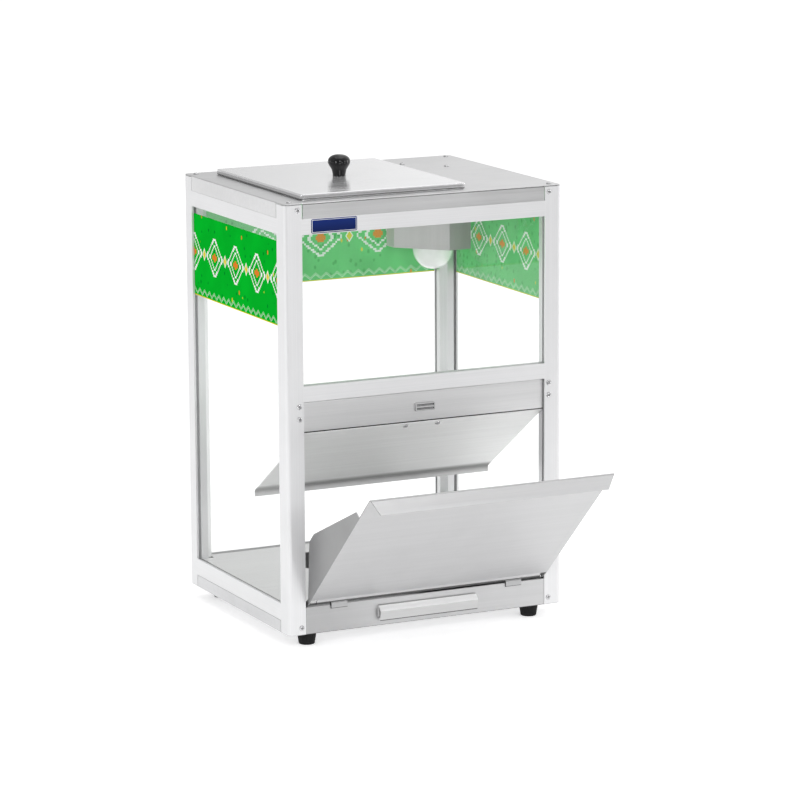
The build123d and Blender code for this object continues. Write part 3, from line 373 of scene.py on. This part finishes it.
def clear_pane(name):
    """Thin clear glass: see-through, with a faint smeared mirror on its outer faces."""
    g = Graph(name)
    smear = g.noise(g.place((0.03, 0.03, 0.012)), 4.0, 0.6)
    through = g.add("BsdfTransparent")
    through.inputs[0].default_value = (0.995, 0.998, 0.996, 1)
    mirror = g.add("BsdfGlossy")
    mirror.inputs["Color"].default_value = (1, 1, 1, 1)
    g.feed(mirror.inputs["Roughness"], g.span(smear, 0.4, 0.8, 0.01, 0.07))
    edge = g.add("Fresnel")
    edge.inputs["IOR"].default_value = 1.45
    mix = g.add("MixShader")
    outer = g.math("SUBTRACT", 1.0, g.add("NewGeometry").outputs["Backfacing"])
    g.feed(mix.inputs[0], g.times(g.times(edge.outputs[0], 0.7), outer))
    g.tree.links.new(through.outputs[0], mix.inputs[1])
    g.tree.links.new(mirror.outputs[0], mix.inputs[2])
    g.tree.links.new(mix.outputs[0], g.out.inputs[0])
    return g.material


def printed(name, design, run, outward, cell):
    """Printed film: woven diamonds, confetti and a zigzag hem, paler from its back; the back is brightened and glows
    with painted light that stands for daylight through the film.
    """
    g = Graph(name)
    low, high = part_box("film_left")
    middle = (low[2] + high[2]) / 2 / MM
    hem = low[2] / MM
    parts = g.parts(g.place())
    u = parts[run]
    v = parts[Z_AXIS]
    side = g.parts(g.add("TexCoord").outputs["Normal"])[X_AXIS if run == Y_AXIS else Y_AXIS]
    inside = g.math("LESS_THAN", g.times(side, outward), 0.0)

    def ink(colour):
        return g.blend(g.times(inside, design.back_share), colour, design.back)

    # The back's ground is partly the print's own paler back and partly painted light.
    ground = g.blend(inside, design.ground, design.back)
    cloud = g.noise(g.place((0.02, 0.02, 0.02)), 2.0)
    tone = g.blend(g.span(cloud, 0.35, 0.7, 0.12, 0.0), ground, BLACK)
    spread, chance = g.cells(g.place(along(Z_AXIS, 0.085, 0.125)))
    fleck = g.times(g.math("LESS_THAN", spread, 0.26), g.math("GREATER_THAN", chance[0], 0.45))
    tone = g.blend(g.times(fleck, g.span(inside, 0, 1, 0.85, 0.3)), tone, design.fleck)
    spread, chance = g.cells(g.place(along(Z_AXIS, 0.045, 0.085), (0.35, 0.35, 0)))
    paper = g.times(g.math("LESS_THAN", spread, 0.15), g.math("GREATER_THAN", chance[1], 0.66))
    warm = g.blend(g.math("GREATER_THAN", chance[2], 0.5), design.orange, design.yellow)
    tone = g.blend(paper, tone, ink(warm))

    half = cell / 2 / MM
    stitch, course = 2.6, 3.0
    across = g.math("PINGPONG", u, half)
    across = g.times(g.math("FLOOR", g.math("DIVIDE", across, stitch)), stitch)
    rise = g.math("ABSOLUTE", g.math("SUBTRACT", v, middle + 4))
    rise = g.times(g.math("FLOOR", g.math("DIVIDE", rise, course)), course)
    reach = g.plus(g.math("DIVIDE", across, half * 0.74), g.math("DIVIDE", rise, 27.0))
    for ring, width in ((0.92, 0.07), (0.52, 0.065)):
        tone = g.blend(g.math("COMPARE", reach, ring, width), tone, ink(design.ornament))
    tone = g.blend(g.math("LESS_THAN", reach, 0.2), tone, ink(design.orange))
    beside = g.plus(
        g.math("DIVIDE", g.math("SUBTRACT", half, g.math("PINGPONG", u, half)), 6.5),
        g.math("DIVIDE", g.math("ABSOLUTE", g.math("SUBTRACT", v, middle + 4)), 9.5),
    )
    tone = g.blend(g.math("LESS_THAN", beside, 1.0), tone, ink(design.ornament))
    tone = g.blend(g.math("LESS_THAN", beside, 0.72), tone, ink(design.yellow))

    wave = g.times(g.math("PINGPONG", u, design.zigzag_step / MM), 0.8)
    for rise, share in ((2.6, 0.9), (5.0, 0.6)):
        line = g.math("COMPARE", v, g.plus(wave, hem + rise), 0.45)
        tone = g.blend(g.times(line, share), tone, ink(design.ornament))
    tone = g.blend(g.math("LESS_THAN", v, hem + 1.4), tone, ink(design.yellow))

    grain = g.noise(g.place((0.6, 0.6, 0.6)), 2.0)
    return g.finish(
        Base_Color=tone,
        Roughness=g.span(grain, 0.3, 0.7, 0.3, 0.38),
        Normal=g.bump(grain, 0.00001, 0.4),
        Specular_IOR_Level=0.0,
        # Painted light: the film's back glows by back_light.
        Emission_Color=tone,
        Emission_Strength=g.times(inside, design.back_light),
    )


def wear(material, *nodes):
    """Puts one material on CAD nodes."""
    for name in nodes:
        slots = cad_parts[name].data.materials
        slots.clear()
        slots.append(material)


# ---------------------------------------------------------------- mesh


def piece(name, vertices, faces, body, material=None, smooth=True):
    """A mesh object in place that rides on a body."""
    mesh = bpy.data.meshes.new(name)
    mesh.from_pydata([tuple(v) for v in vertices], [], faces)
    mesh.update()
    made = bpy.data.objects.new(name, mesh)
    bpy.context.scene.collection.objects.link(made)
    if smooth:
        mesh.shade_smooth()
    for paint in material if isinstance(material, (list, tuple)) else [material]:
        mesh.materials.append(paint)
    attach(made, body)
    return made


def islands(node):
    """The node's separate solids, each as an array of its points."""
    mesh = bmesh.new()
    mesh.from_mesh(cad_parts[node].data)
    bmesh.ops.remove_doubles(mesh, verts=mesh.verts, dist=1e-6)
    left = set(mesh.verts)
    groups = []
    while left:
        front = [left.pop()]
        group = []
        while front:
            vertex = front.pop()
            group.append(tuple(vertex.co))
            for edge in vertex.link_edges:
                other = edge.other_vert(vertex)
                if other in left:
                    left.remove(other)
                    front.append(other)
        groups.append(np.array(group))
    mesh.free()
    return sorted(groups, key=lambda points: tuple(np.round(points.mean(axis=0), 5)))


def screw_of(points):
    """A screw's crown, outward axis, head radius, head height and length, read from its points."""
    middle = points.min(axis=0) / 2 + points.max(axis=0) / 2
    spread = points - points.mean(axis=0)
    values, vectors = np.linalg.eigh(spread.T @ spread)
    lone = 0 if abs(values[1] - values[2]) < abs(values[1] - values[0]) else 2
    axis = vectors[:, lone]
    height = (points - middle) @ axis
    radial = np.linalg.norm((points - middle) - np.outer(height, axis), axis=1)
    widest = height[radial > radial.max() * 0.98].mean()
    if widest < (height.max() + height.min()) / 2:
        axis, height = -axis, -height
        widest = -widest
    rim = height[radial > radial.max() * 0.98]
    seat = rim.min()
    centre = middle
    return centre + axis * seat, Vector(axis), radial.max(), height.max() - seat, seat - height.min()


def screw_head(fastener, seat, axis, radius, height, length, turn):
    """Points, faces and their paints (1 is dark: painted shade in the recess, on the rim and below it) of a pan head
    with a cross recess and its shank.
    """
    side = axis.orthogonal().normalized()
    up = axis.cross(side)
    spokes, rings = fastener.spokes, fastener.rings
    shank = radius * 0.5
    profile = []
    for i in range(1, rings + 1):
        share = i / rings
        profile.append((radius * share, height * math.sqrt(max(0.0, 1 - (share * 0.985) ** 2.6))))
    profile += [(radius, 0.0), (shank, 0.0), (shank, -length)]
    points = []
    for ring, (reach, rise) in enumerate(profile):
        for spoke in range(spokes):
            angle = 2 * math.pi * spoke / spokes
            a, b = math.cos(angle) * reach, math.sin(angle) * reach
            level = rise
            if ring < rings:
                level -= recess_depth(fastener, a, b, radius, height, turn)
            points.append(Vector(seat) + side * a + up * b + axis * level)
    points.append(Vector(seat) + axis * (height - recess_depth(fastener, 0, 0, radius, height, turn)))
    points.append(Vector(seat) - axis * length)
    crown, tip = len(points) - 2, len(points) - 1
    faces, paints = [], []
    for ring in range(len(profile) - 1):
        for spoke in range(spokes):
            ahead = (spoke + 1) % spokes
            here, beyond = ring * spokes, (ring + 1) * spokes
            faces.append((here + spoke, beyond + spoke, beyond + ahead, here + ahead))
            reach = (profile[ring][0] + profile[ring + 1][0]) / 2
            angle = 2 * math.pi * (spoke + 0.5) / spokes
            sunk = recess_depth(fastener, math.cos(angle) * reach, math.sin(angle) * reach, radius, height, turn)
            # Painted shade on the rim, the underside and the shank, and deep in the recess.
            paints.append(int(ring >= rings - 1 or sunk > 0.25 * height))
    last = (len(profile) - 1) * spokes
    for spoke in range(spokes):
        ahead = (spoke + 1) % spokes
        faces += [(crown, spoke, ahead), (tip, last + ahead, last + spoke)]
        paints += [1, 1]
    return points, faces, paints


def recess_depth(fastener, a, b, radius, height, turn):
    """How far the cross recess lies below the dome at a point of the head."""
    x = (a * math.cos(turn) + b * math.sin(turn)) / radius
    y = (b * math.cos(turn) - a * math.sin(turn)) / radius
    arm, reach = fastener.cross_width / 2, fastener.cross_reach
    depth = 0.0
    for along_arm, off_arm in ((abs(x), abs(y)), (abs(y), abs(x))):
        wall = min(1.0, max(0.0, (arm * 1.5 - off_arm) / arm))
        end = min(1.0, max(0.0, (reach - along_arm) / (reach * 0.45)))
        depth = max(depth, wall * end)
    return depth * height * fastener.cross_depth


# ---------------------------------------------------------------- operators


class WARMER_OT_extrusions(Operator):
    """Satin finish on the posts, rails and infill strips"""

    bl_idname = "warmer.extrusions"
    bl_label = "Extrusions"

    def execute(self, context):
        metal = context.scene.warmer_metal
        runs = {
            Z_AXIS: ("post_front_left", "post_front_right", "post_rear_left", "post_rear_right"),
            X_AXIS: ("rail_top_front", "rail_top_rear", "rail_middle_front", "rail_bottom_rear"),
            Y_AXIS: ("rail_top_left", "rail_top_right", "rail_bottom_left", "rail_bottom_right"),
        }
        for run, nodes in runs.items():
            finish = satin(f"satin_{'xyz'[run]}", metal.extrusion, metal.extrusion_roughness, run)
            wear(finish, *nodes)
        wear(satin("satin_dark", metal.infill, metal.extrusion_roughness, Z_AXIS),
             "infill_strip_left", "infill_strip_right")
        return {"FINISHED"}


class WARMER_OT_sheet(Operator):
    """Brushed finish on the case sheet, flap, baffle, lamp housing and drawer"""

    bl_idname = "warmer.sheet"
    bl_label = "Sheet metal"

    def execute(self, context):
        metal = context.scene.warmer_metal
        rough = metal.sheet_roughness
        # Painted shade line along the top of the cover's front flange.
        edge = [shade_line(0.6, y=(-0.1727, -0.1712), z=(0.6118, 0.6131))]
        wear(brushed("sheet_cover", metal.sheet, rough, X_AXIS, marks=edge), "top_cover")
        # Painted shadow line along the bottom edge of the apron, over the baffle.
        wear(brushed("sheet_apron", metal.apron, rough, X_AXIS, marks=[shade_line(0.92, z=(0.2988, 0.3009))]), "apron")
        wear(brushed("sheet_floor", metal.inner_floor, rough, X_AXIS), "floor_plate")
        wear(brushed("sheet_base", metal.base, rough, X_AXIS), "base_pan")
        # Painted shade: a dark band along the baffle's bend and a shaded lip below it; glow lightens the baffle with
        # painted light.
        bend = [band(Z_AXIS, 0.1888, 0.009, 0.62), shade_line(0.35, z=(0.178, 0.1866))]
        wear(brushed("sheet_baffle", metal.baffle, 0.45, X_AXIS, metal=0.5, marks=bend, glow=0.09), "baffle")
        # Painted shade on the flap's side cheeks and a painted shade line along its lower edge.
        flap = [facing(X_AXIS, 0, 0.7, 0.45), shade_line(0.75, x=(-0.1735, 0.1735), y=(-0.184, -0.176), z=(0.062, 0.0648))]
        wear(brushed("sheet_flap", metal.low_sheet, rough, X_AXIS, marks=flap), "flap_panel")
        # Painted shade: the drawer front darkens towards its left end, and a painted shade line runs near its bottom
        # edge.
        front = [fading(X_AXIS, -0.18, -0.03, 0.2), shade_line(0.55, z=(0.0192, 0.0201))]
        wear(brushed("sheet_drawer", metal.low_sheet, rough, X_AXIS, marks=front), "drawer_front")
        # Painted shade outlines on the tray's hooks: one line across them and one down the left edge of each.
        hook = [shade_line(0.75, y=(-0.175, -0.172), z=(0.0519, 0.0527))]
        hook += [shade_line(0.85, x=(left, left + 0.0009), y=(-0.175, -0.172)) for left in (-0.147, 0.1218)]
        wear(brushed("sheet_tray", metal.hook, rough, X_AXIS, marks=hook), "drawer_tray")
        # Painted shade: the pull's front-facing leg is darker, and two painted shade lines run along it.
        leg = [facing(Y_AXIS, -1, 0.9, 0.32), shade_line(0.8, z=(0.027, 0.0284)), shade_line(0.5, z=(0.0481, 0.0487))]
        wear(brushed("sheet_pull", metal.pull, rough, X_AXIS, metal=0.4, marks=leg), "drawer_handle")
        # Painted shade on the housing's front-facing wing; glow lightens the whole housing with painted light.
        wing = [facing(Y_AXIS, -1, 0.9, 0.36)]
        wear(brushed("housing_paint", metal.housing, 0.5, Z_AXIS, metal=0.4, marks=wing, glow=0.15), "lamp_housing")
        runner = brushed("sheet_runner", metal.sheet, metal.sheet_roughness, Y_AXIS)
        wear(runner, "tray_runner_left", "tray_runner_right")
        return {"FINISHED"}


class WARMER_OT_lid(Operator):
    """Polished lid and glossy knob"""

    bl_idname = "warmer.lid"
    bl_label = "Lid"

    def execute(self, context):
        metal, moulding = context.scene.warmer_metal, context.scene.warmer_moulding
        # Painted shade: a grey band on the lid's skirt and a dark shade line along its bottom edge.
        skirt = [shade_line(0.3, z=(0.6163, 0.6196)), shade_line(0.85, z=(0.615, 0.6162))]
        polish = brushed("lid_polish", metal.lid, metal.lid_roughness, X_AXIS, 0.000006, 0.025, metal=0.75, marks=skirt)
        wear(polish, "lid_pan")
        wear(moulded("knob_gloss", moulding.knob, 0.03, 0.5, 0.000002, shine=0.42, mottle=0.01), "lid_knob")
        return {"FINISHED"}


class WARMER_OT_glazing(Operator):
    """Clear panes and the printed films on them"""

    bl_idname = "warmer.glazing"
    bl_label = "Glazing and films"

    def execute(self, context):
        design = context.scene.warmer_print
        wear(clear_pane("clear_glass"), "glass_front", "glass_rear", "glass_left", "glass_right")
        wear(printed("print_left", design, Y_AXIS, -1, design.side_cell), "film_left")
        wear(printed("print_right", design, Y_AXIS, 1, design.side_cell), "film_right")
        wear(printed("print_rear", design, X_AXIS, 1, design.rear_cell), "film_rear")
        return {"FINISHED"}


class WARMER_OT_sticker(Operator):
    """Plain sticker near the left end of the front top rail"""

    bl_idname = "warmer.sticker"
    bl_label = "Sticker"

    def execute(self, context):
        design = context.scene.warmer_print
        low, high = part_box("rail_top_front")
        wide, tall, thick, corner = design.sticker_width, design.sticker_height, 0.00025, 0.0022
        left = low[0] + 0.0135
        bottom = (low[2] + high[2]) / 2 - tall / 2
        outline = []
        for corner_x, corner_z, start in (
            (left + wide - corner, bottom + tall - corner, 0),
            (left + corner, bottom + tall - corner, 90),
            (left + corner, bottom + corner, 180),
            (left + wide - corner, bottom + corner, 270),
        ):
            for step in range(9):
                angle = math.radians(start + step * 90 / 8)
                outline.append((corner_x + corner * math.cos(angle), corner_z + corner * math.sin(angle)))
        face = low[1]
        points = [(x, face - 0.00002, z) for x, z in outline]
        middle = (left + wide / 2, bottom + tall / 2)
        inset = 0.00008
        points += [(x, face - thick + inset, z) for x, z in outline]
        points += [(x + math.copysign(inset, middle[0] - x), face - thick, z + math.copysign(inset, middle[1] - z))
                   for x, z in outline]
        count = len(outline)
        faces = [tuple(range(count)), tuple(reversed(range(2 * count, 3 * count)))]
        for level in range(2):
            for i in range(count):
                ahead = (i + 1) % count
                here, beyond = level * count, (level + 1) * count
                faces.append((here + ahead, here + i, beyond + i, beyond + ahead))
        g = Graph("sticker_vinyl")
        parts = g.add("SeparateXYZ")
        g.feed(parts.inputs[0], g.place())
        off_x = g.math("ABSOLUTE", g.math("SUBTRACT", parts.outputs[0], middle[0] / MM))
        off_z = g.math("ABSOLUTE", g.math("SUBTRACT", parts.outputs[2], middle[1] / MM))
        margin = g.math("MINIMUM", g.math("SUBTRACT", wide / 2 / MM, off_x), g.math("SUBTRACT", tall / 2 / MM, off_z))
        tone = g.blend(g.span(parts.outputs[2], bottom / MM, (bottom + tall) / MM), toned(design.sticker, 0.7),
                       toned(design.sticker, 1.25))
        tone = g.blend(g.math("COMPARE", margin, 1.5, 0.3), tone, (0.78, 0.80, 0.84))
        grain = g.noise(g.place((0.7, 0.7, 0.7)), 2.0)
        vinyl = g.finish(Base_Color=tone, Roughness=g.span(grain, 0.3, 0.7, 0.3, 0.4),
                         Normal=g.bump(grain, 0.00001, 0.4), Specular_IOR_Level=0.12)
        made = piece("rail_sticker", points, faces, "cabinet", vinyl, smooth=False)
        made.data.validate()
        return {"FINISHED"}


class WARMER_OT_screws(Operator):
    """Pan heads with cross recesses in place of the plain domes"""

    bl_idname = "warmer.screws"
    bl_label = "Screws"

    def execute(self, context):
        metal, fastener = context.scene.warmer_metal, context.scene.warmer_fastener
        plated = brushed("screw_plate", metal.screw, 0.24, Z_AXIS, 0.000004, 0.03)
        # The recess material is painted shade for the cross recess and the rim.
        dark = brushed("screw_recess", metal.recess, 0.5, Z_AXIS, 0.000004, 0.03, metal=0.3, shine=0.2)
        sets = {
            "post_screws": "cabinet",
            "cover_screws": "cabinet",
            "baffle_screws": "cabinet",
            "foot_screws": "cabinet",
            "handle_screws": "drawer",
            "knob_screw": "lid",
        }
        for node, body in sets.items():
            points, faces, paints = [], [], []
            for number, solid in enumerate(islands(node)):
                more, quads, shades = screw_head(fastener, *screw_of(solid), turn=0.55 + 1.9 * number)
                faces += [tuple(i + len(points) for i in quad) for quad in quads]
                points += more
                paints += shades
            made = piece(node.replace("screw", "cross_screw"), points, faces, body, [plated, dark])
            made.data.polygons.foreach_set("material_index", paints)
            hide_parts(node)
        wear(plated, "flap_pins", "flap_stop_pins")
        return {"FINISHED"}


class WARMER_OT_lamp(Operator):
    """Opal lamp, its cap and its ceramic socket"""

    bl_idname = "warmer.lamp"
    bl_label = "Lamp"

    def execute(self, context):
        metal, moulding = context.scene.warmer_metal, context.scene.warmer_moulding
        g = Graph("opal_glass")
        frost = g.noise(g.place((0.08, 0.08, 0.08)), 3.0)
        tone = g.blend(g.span(frost, 0.35, 0.7), toned(moulding.lamp, 0.93), toned(moulding.lamp, 1.05))
        # The faint emission is painted light that brightens the bulb in the housing's shade.
        opal = g.finish(Base_Color=tone, Roughness=g.span(frost, 0.3, 0.7, 0.14, 0.2), Coat_Weight=0.6,
                        Coat_Roughness=0.05, Emission_Color=moulding.lamp, Emission_Strength=0.16)
        wear(opal, "bulb_glass")
        wear(brushed("cap_brass", (0.70, 0.66, 0.56), 0.3, X_AXIS), "bulb_cap")
        wear(moulded("socket_ceramic", moulding.ceramic, 0.22, 0.4, 0.00003), "lamp_socket")
        return {"FINISHED"}


class WARMER_OT_mouldings(Operator):
    """Feet, gland, washers, switch and catch"""

    bl_idname = "warmer.mouldings"
    bl_label = "Mouldings"

    def execute(self, context):
        moulding = context.scene.warmer_moulding
        wear(moulded("foot_rubber", moulding.rubber, 0.62, 1.2, 0.00006, shine=0.15),
             "foot_front_left", "foot_front_right", "foot_rear_left", "foot_rear_right")
        wear(moulded("nylon_black", moulding.nylon, 0.4, 1.5, 0.00003), "flap_washers", "cable_gland", "gland_nut")
        wear(moulded("switch_black", moulding.switch, 0.3, 1.5, 0.00002), "switch_bezel", "switch_rocker")
        wear(moulded("catch_grey", moulding.catch, 0.4, 1.0, 0.00002), "catch_body")
        # Painted shade outlines on the catch's poles.
        edges = [shade_line(1, z=(low, low + 0.0008)) for low in (0.3162, 0.3179, 0.3212, 0.3229)]
        edges += [shade_line(1, x=(0.0118, 0.0132))]
        wear(brushed("catch_poles_steel", (0.5, 0.5, 0.51), 0.3, X_AXIS, marks=edges), "catch_poles")
        return {"FINISHED"}


class WARMER_OT_stage(Operator):
    """Pale floor, soft lamps, room and camera"""

    bl_idname = "warmer.stage"
    bl_label = "Stage"

    def execute(self, context):
        stage = context.scene.warmer_stage
        self.floor(stage)
        self.room(stage)
        self.lamps()
        self.camera(stage)
        context.scene.view_settings.view_transform = "Standard"
        return {"FINISHED"}

    def floor(self, stage):
        half = stage.floor_size / 2
        steps = 24
        grid = [(-half + 2 * half * i / steps, -stage.floor_front + (half + stage.floor_front) * j / steps, 0.0)
                for j in range(steps + 1) for i in range(steps + 1)]
        row = steps + 1
        faces = [(j * row + i, j * row + i + 1, (j + 1) * row + i + 1, (j + 1) * row + i)
                 for j in range(steps) for i in range(steps)]
        mesh = bpy.data.meshes.new("floor")
        mesh.from_pydata(grid, [], faces)
        floor = bpy.data.objects.new("floor", mesh)
        bpy.context.scene.collection.objects.link(floor)
        g = Graph("floor_paper")
        grain = g.noise(g.place((0.05, 0.05, 0.05)), 3.0)
        matt = g.add("BsdfDiffuse")
        g.feed(matt.inputs["Color"], g.blend(g.span(grain, 0.3, 0.7), toned(stage.floor, 0.99), stage.floor))
        glow = g.add("Emission")
        seen = g.looked_at()
        g.feed(glow.inputs["Strength"], g.times(seen, stage.floor_lift))
        total = g.add("AddShader")
        g.tree.links.new(matt.outputs[0], total.inputs[0])
        g.tree.links.new(glow.outputs[0], total.inputs[1])
        g.tree.links.new(total.outputs[0], g.out.inputs[0])
        mesh.materials.append(g.material)

    def room(self, stage):
        world = bpy.data.worlds.new("room")
        bpy.context.scene.world = world
        world.use_nodes = True
        g = Graph.__new__(Graph)
        g.tree = world.node_tree
        g.tree.nodes.clear()
        out = g.add("OutputWorld")
        background = g.add("Background")
        path = g.add("LightPath").outputs
        parts = g.add("SeparateXYZ")
        g.feed(parts.inputs[0], g.add("TexCoord").outputs["Generated"])
        towards_front = g.span(parts.outputs[1], -0.95, 0.1, stage.front_shade, 1.0)
        beside = g.math("SUBTRACT", g.times(parts.outputs[0], math.cos(stage.panel_edge)),
                        g.times(parts.outputs[1], math.sin(stage.panel_edge)))
        panel = g.span(beside, -0.10, 0.07, stage.side_shade, 1.0)
        mirrored = g.blend(path["Is Glossy Ray"], (1, 1, 1), g.grey(g.times(towards_front, panel)))
        seen = g.math("MAXIMUM", path["Is Camera Ray"], path["Is Transmission Ray"])
        seen = g.math("MAXIMUM", seen, path["Is Glossy Ray"])
        tone = g.blend(seen, (stage.ambient,) * 3, mirrored)
        g.feed(background.inputs["Color"], tone)
        background.inputs["Strength"].default_value = 1
        g.tree.links.new(background.outputs[0], out.inputs[0])

    def lamps(self):
        softboxes = (
            ("key", (-1.1, -3.7, 2.3), 1.3, 18, "DISK"),
            ("fill", (2.6, -3.4, 1.7), 1.3, 12, "DISK"),
            ("top", (0.2, 0.4, 3.4), 2.4, 14, "SQUARE"),
            ("left_spark", (-2.54, -1.59, 0.95), 0.34, 9, "DISK"),
            ("right_spark", (0.31, -2.98, 0.95), 0.34, 10, "DISK"),
            ("left_rim", (-2.4, 1.75, 1.0), 0.3, 2, "DISK"),
            ("right_rim", (2.9, -0.8, 1.0), 0.4, 8, "DISK"),
        )
        for name, spot, size, power, shape in softboxes:
            light = bpy.data.lights.new(name, "AREA")
            light.shape = shape
            light.size = size
            light.energy = power
            lamp = bpy.data.objects.new(name, light)
            bpy.context.scene.collection.objects.link(lamp)
            lamp.location = spot
            lamp.rotation_euler = (Vector((0, 0, 0.3)) - Vector(spot)).to_track_quat("-Z", "Y").to_euler()
            lamp.visible_camera = False

    def camera(self, stage):
        data = bpy.data.cameras.new("camera")
        data.lens = stage.lens
        data.sensor_width = 36
        data.clip_end = 100
        camera = bpy.data.objects.new("camera", data)
        bpy.context.scene.collection.objects.link(camera)
        ahead = Vector((0.42702014, 0.88292153, -0.19520086))
        up = Vector((0.08991177, 0.17334365, 0.98074862))
        right = ahead.cross(up)
        turn = Matrix((right, up, -ahead)).transposed().to_4x4()
        camera.matrix_world = Matrix.Translation((-2.29340535, -4.83238969, 1.36327756)) @ turn
        bpy.context.scene.camera = camera


class WARMER_PT_panel(Panel):
    """Lists the dressing steps"""

    bl_idname = "WARMER_PT_panel"
    bl_label = "Chip warmer"
    bl_space_type = "VIEW_3D"
    bl_region_type = "UI"
    bl_category = "Warmer"

    def draw(self, context):
        for step in STEPS:
            self.layout.operator(step.bl_idname)


SETTINGS = {
    "warmer_metal": MetalFinish,
    "warmer_print": PrintDesign,
    "warmer_moulding": Moulding,
    "warmer_fastener": Fastener,
    "warmer_stage": Stage,
}
STEPS = (
    WARMER_OT_extrusions,
    WARMER_OT_sheet,
    WARMER_OT_lid,
    WARMER_OT_glazing,
    WARMER_OT_sticker,
    WARMER_OT_screws,
    WARMER_OT_lamp,
    WARMER_OT_mouldings,
    WARMER_OT_stage,
)


def register():
    for group in SETTINGS.values():
        bpy.utils.register_class(group)
    for name, group in SETTINGS.items():
        setattr(bpy.types.Scene, name, PointerProperty(type=group))
    for step in (*STEPS, WARMER_PT_panel):
        bpy.utils.register_class(step)


def unregister():
    for step in (WARMER_PT_panel, *reversed(STEPS)):
        bpy.utils.unregister_class(step)
    for name, group in SETTINGS.items():
        delattr(bpy.types.Scene, name)
        bpy.utils.unregister_class(group)


def main():
    register()
    for step in STEPS:
        getattr(bpy.ops.warmer, step.bl_idname.split(".")[1])()


if __name__ == "__main__":
    main()
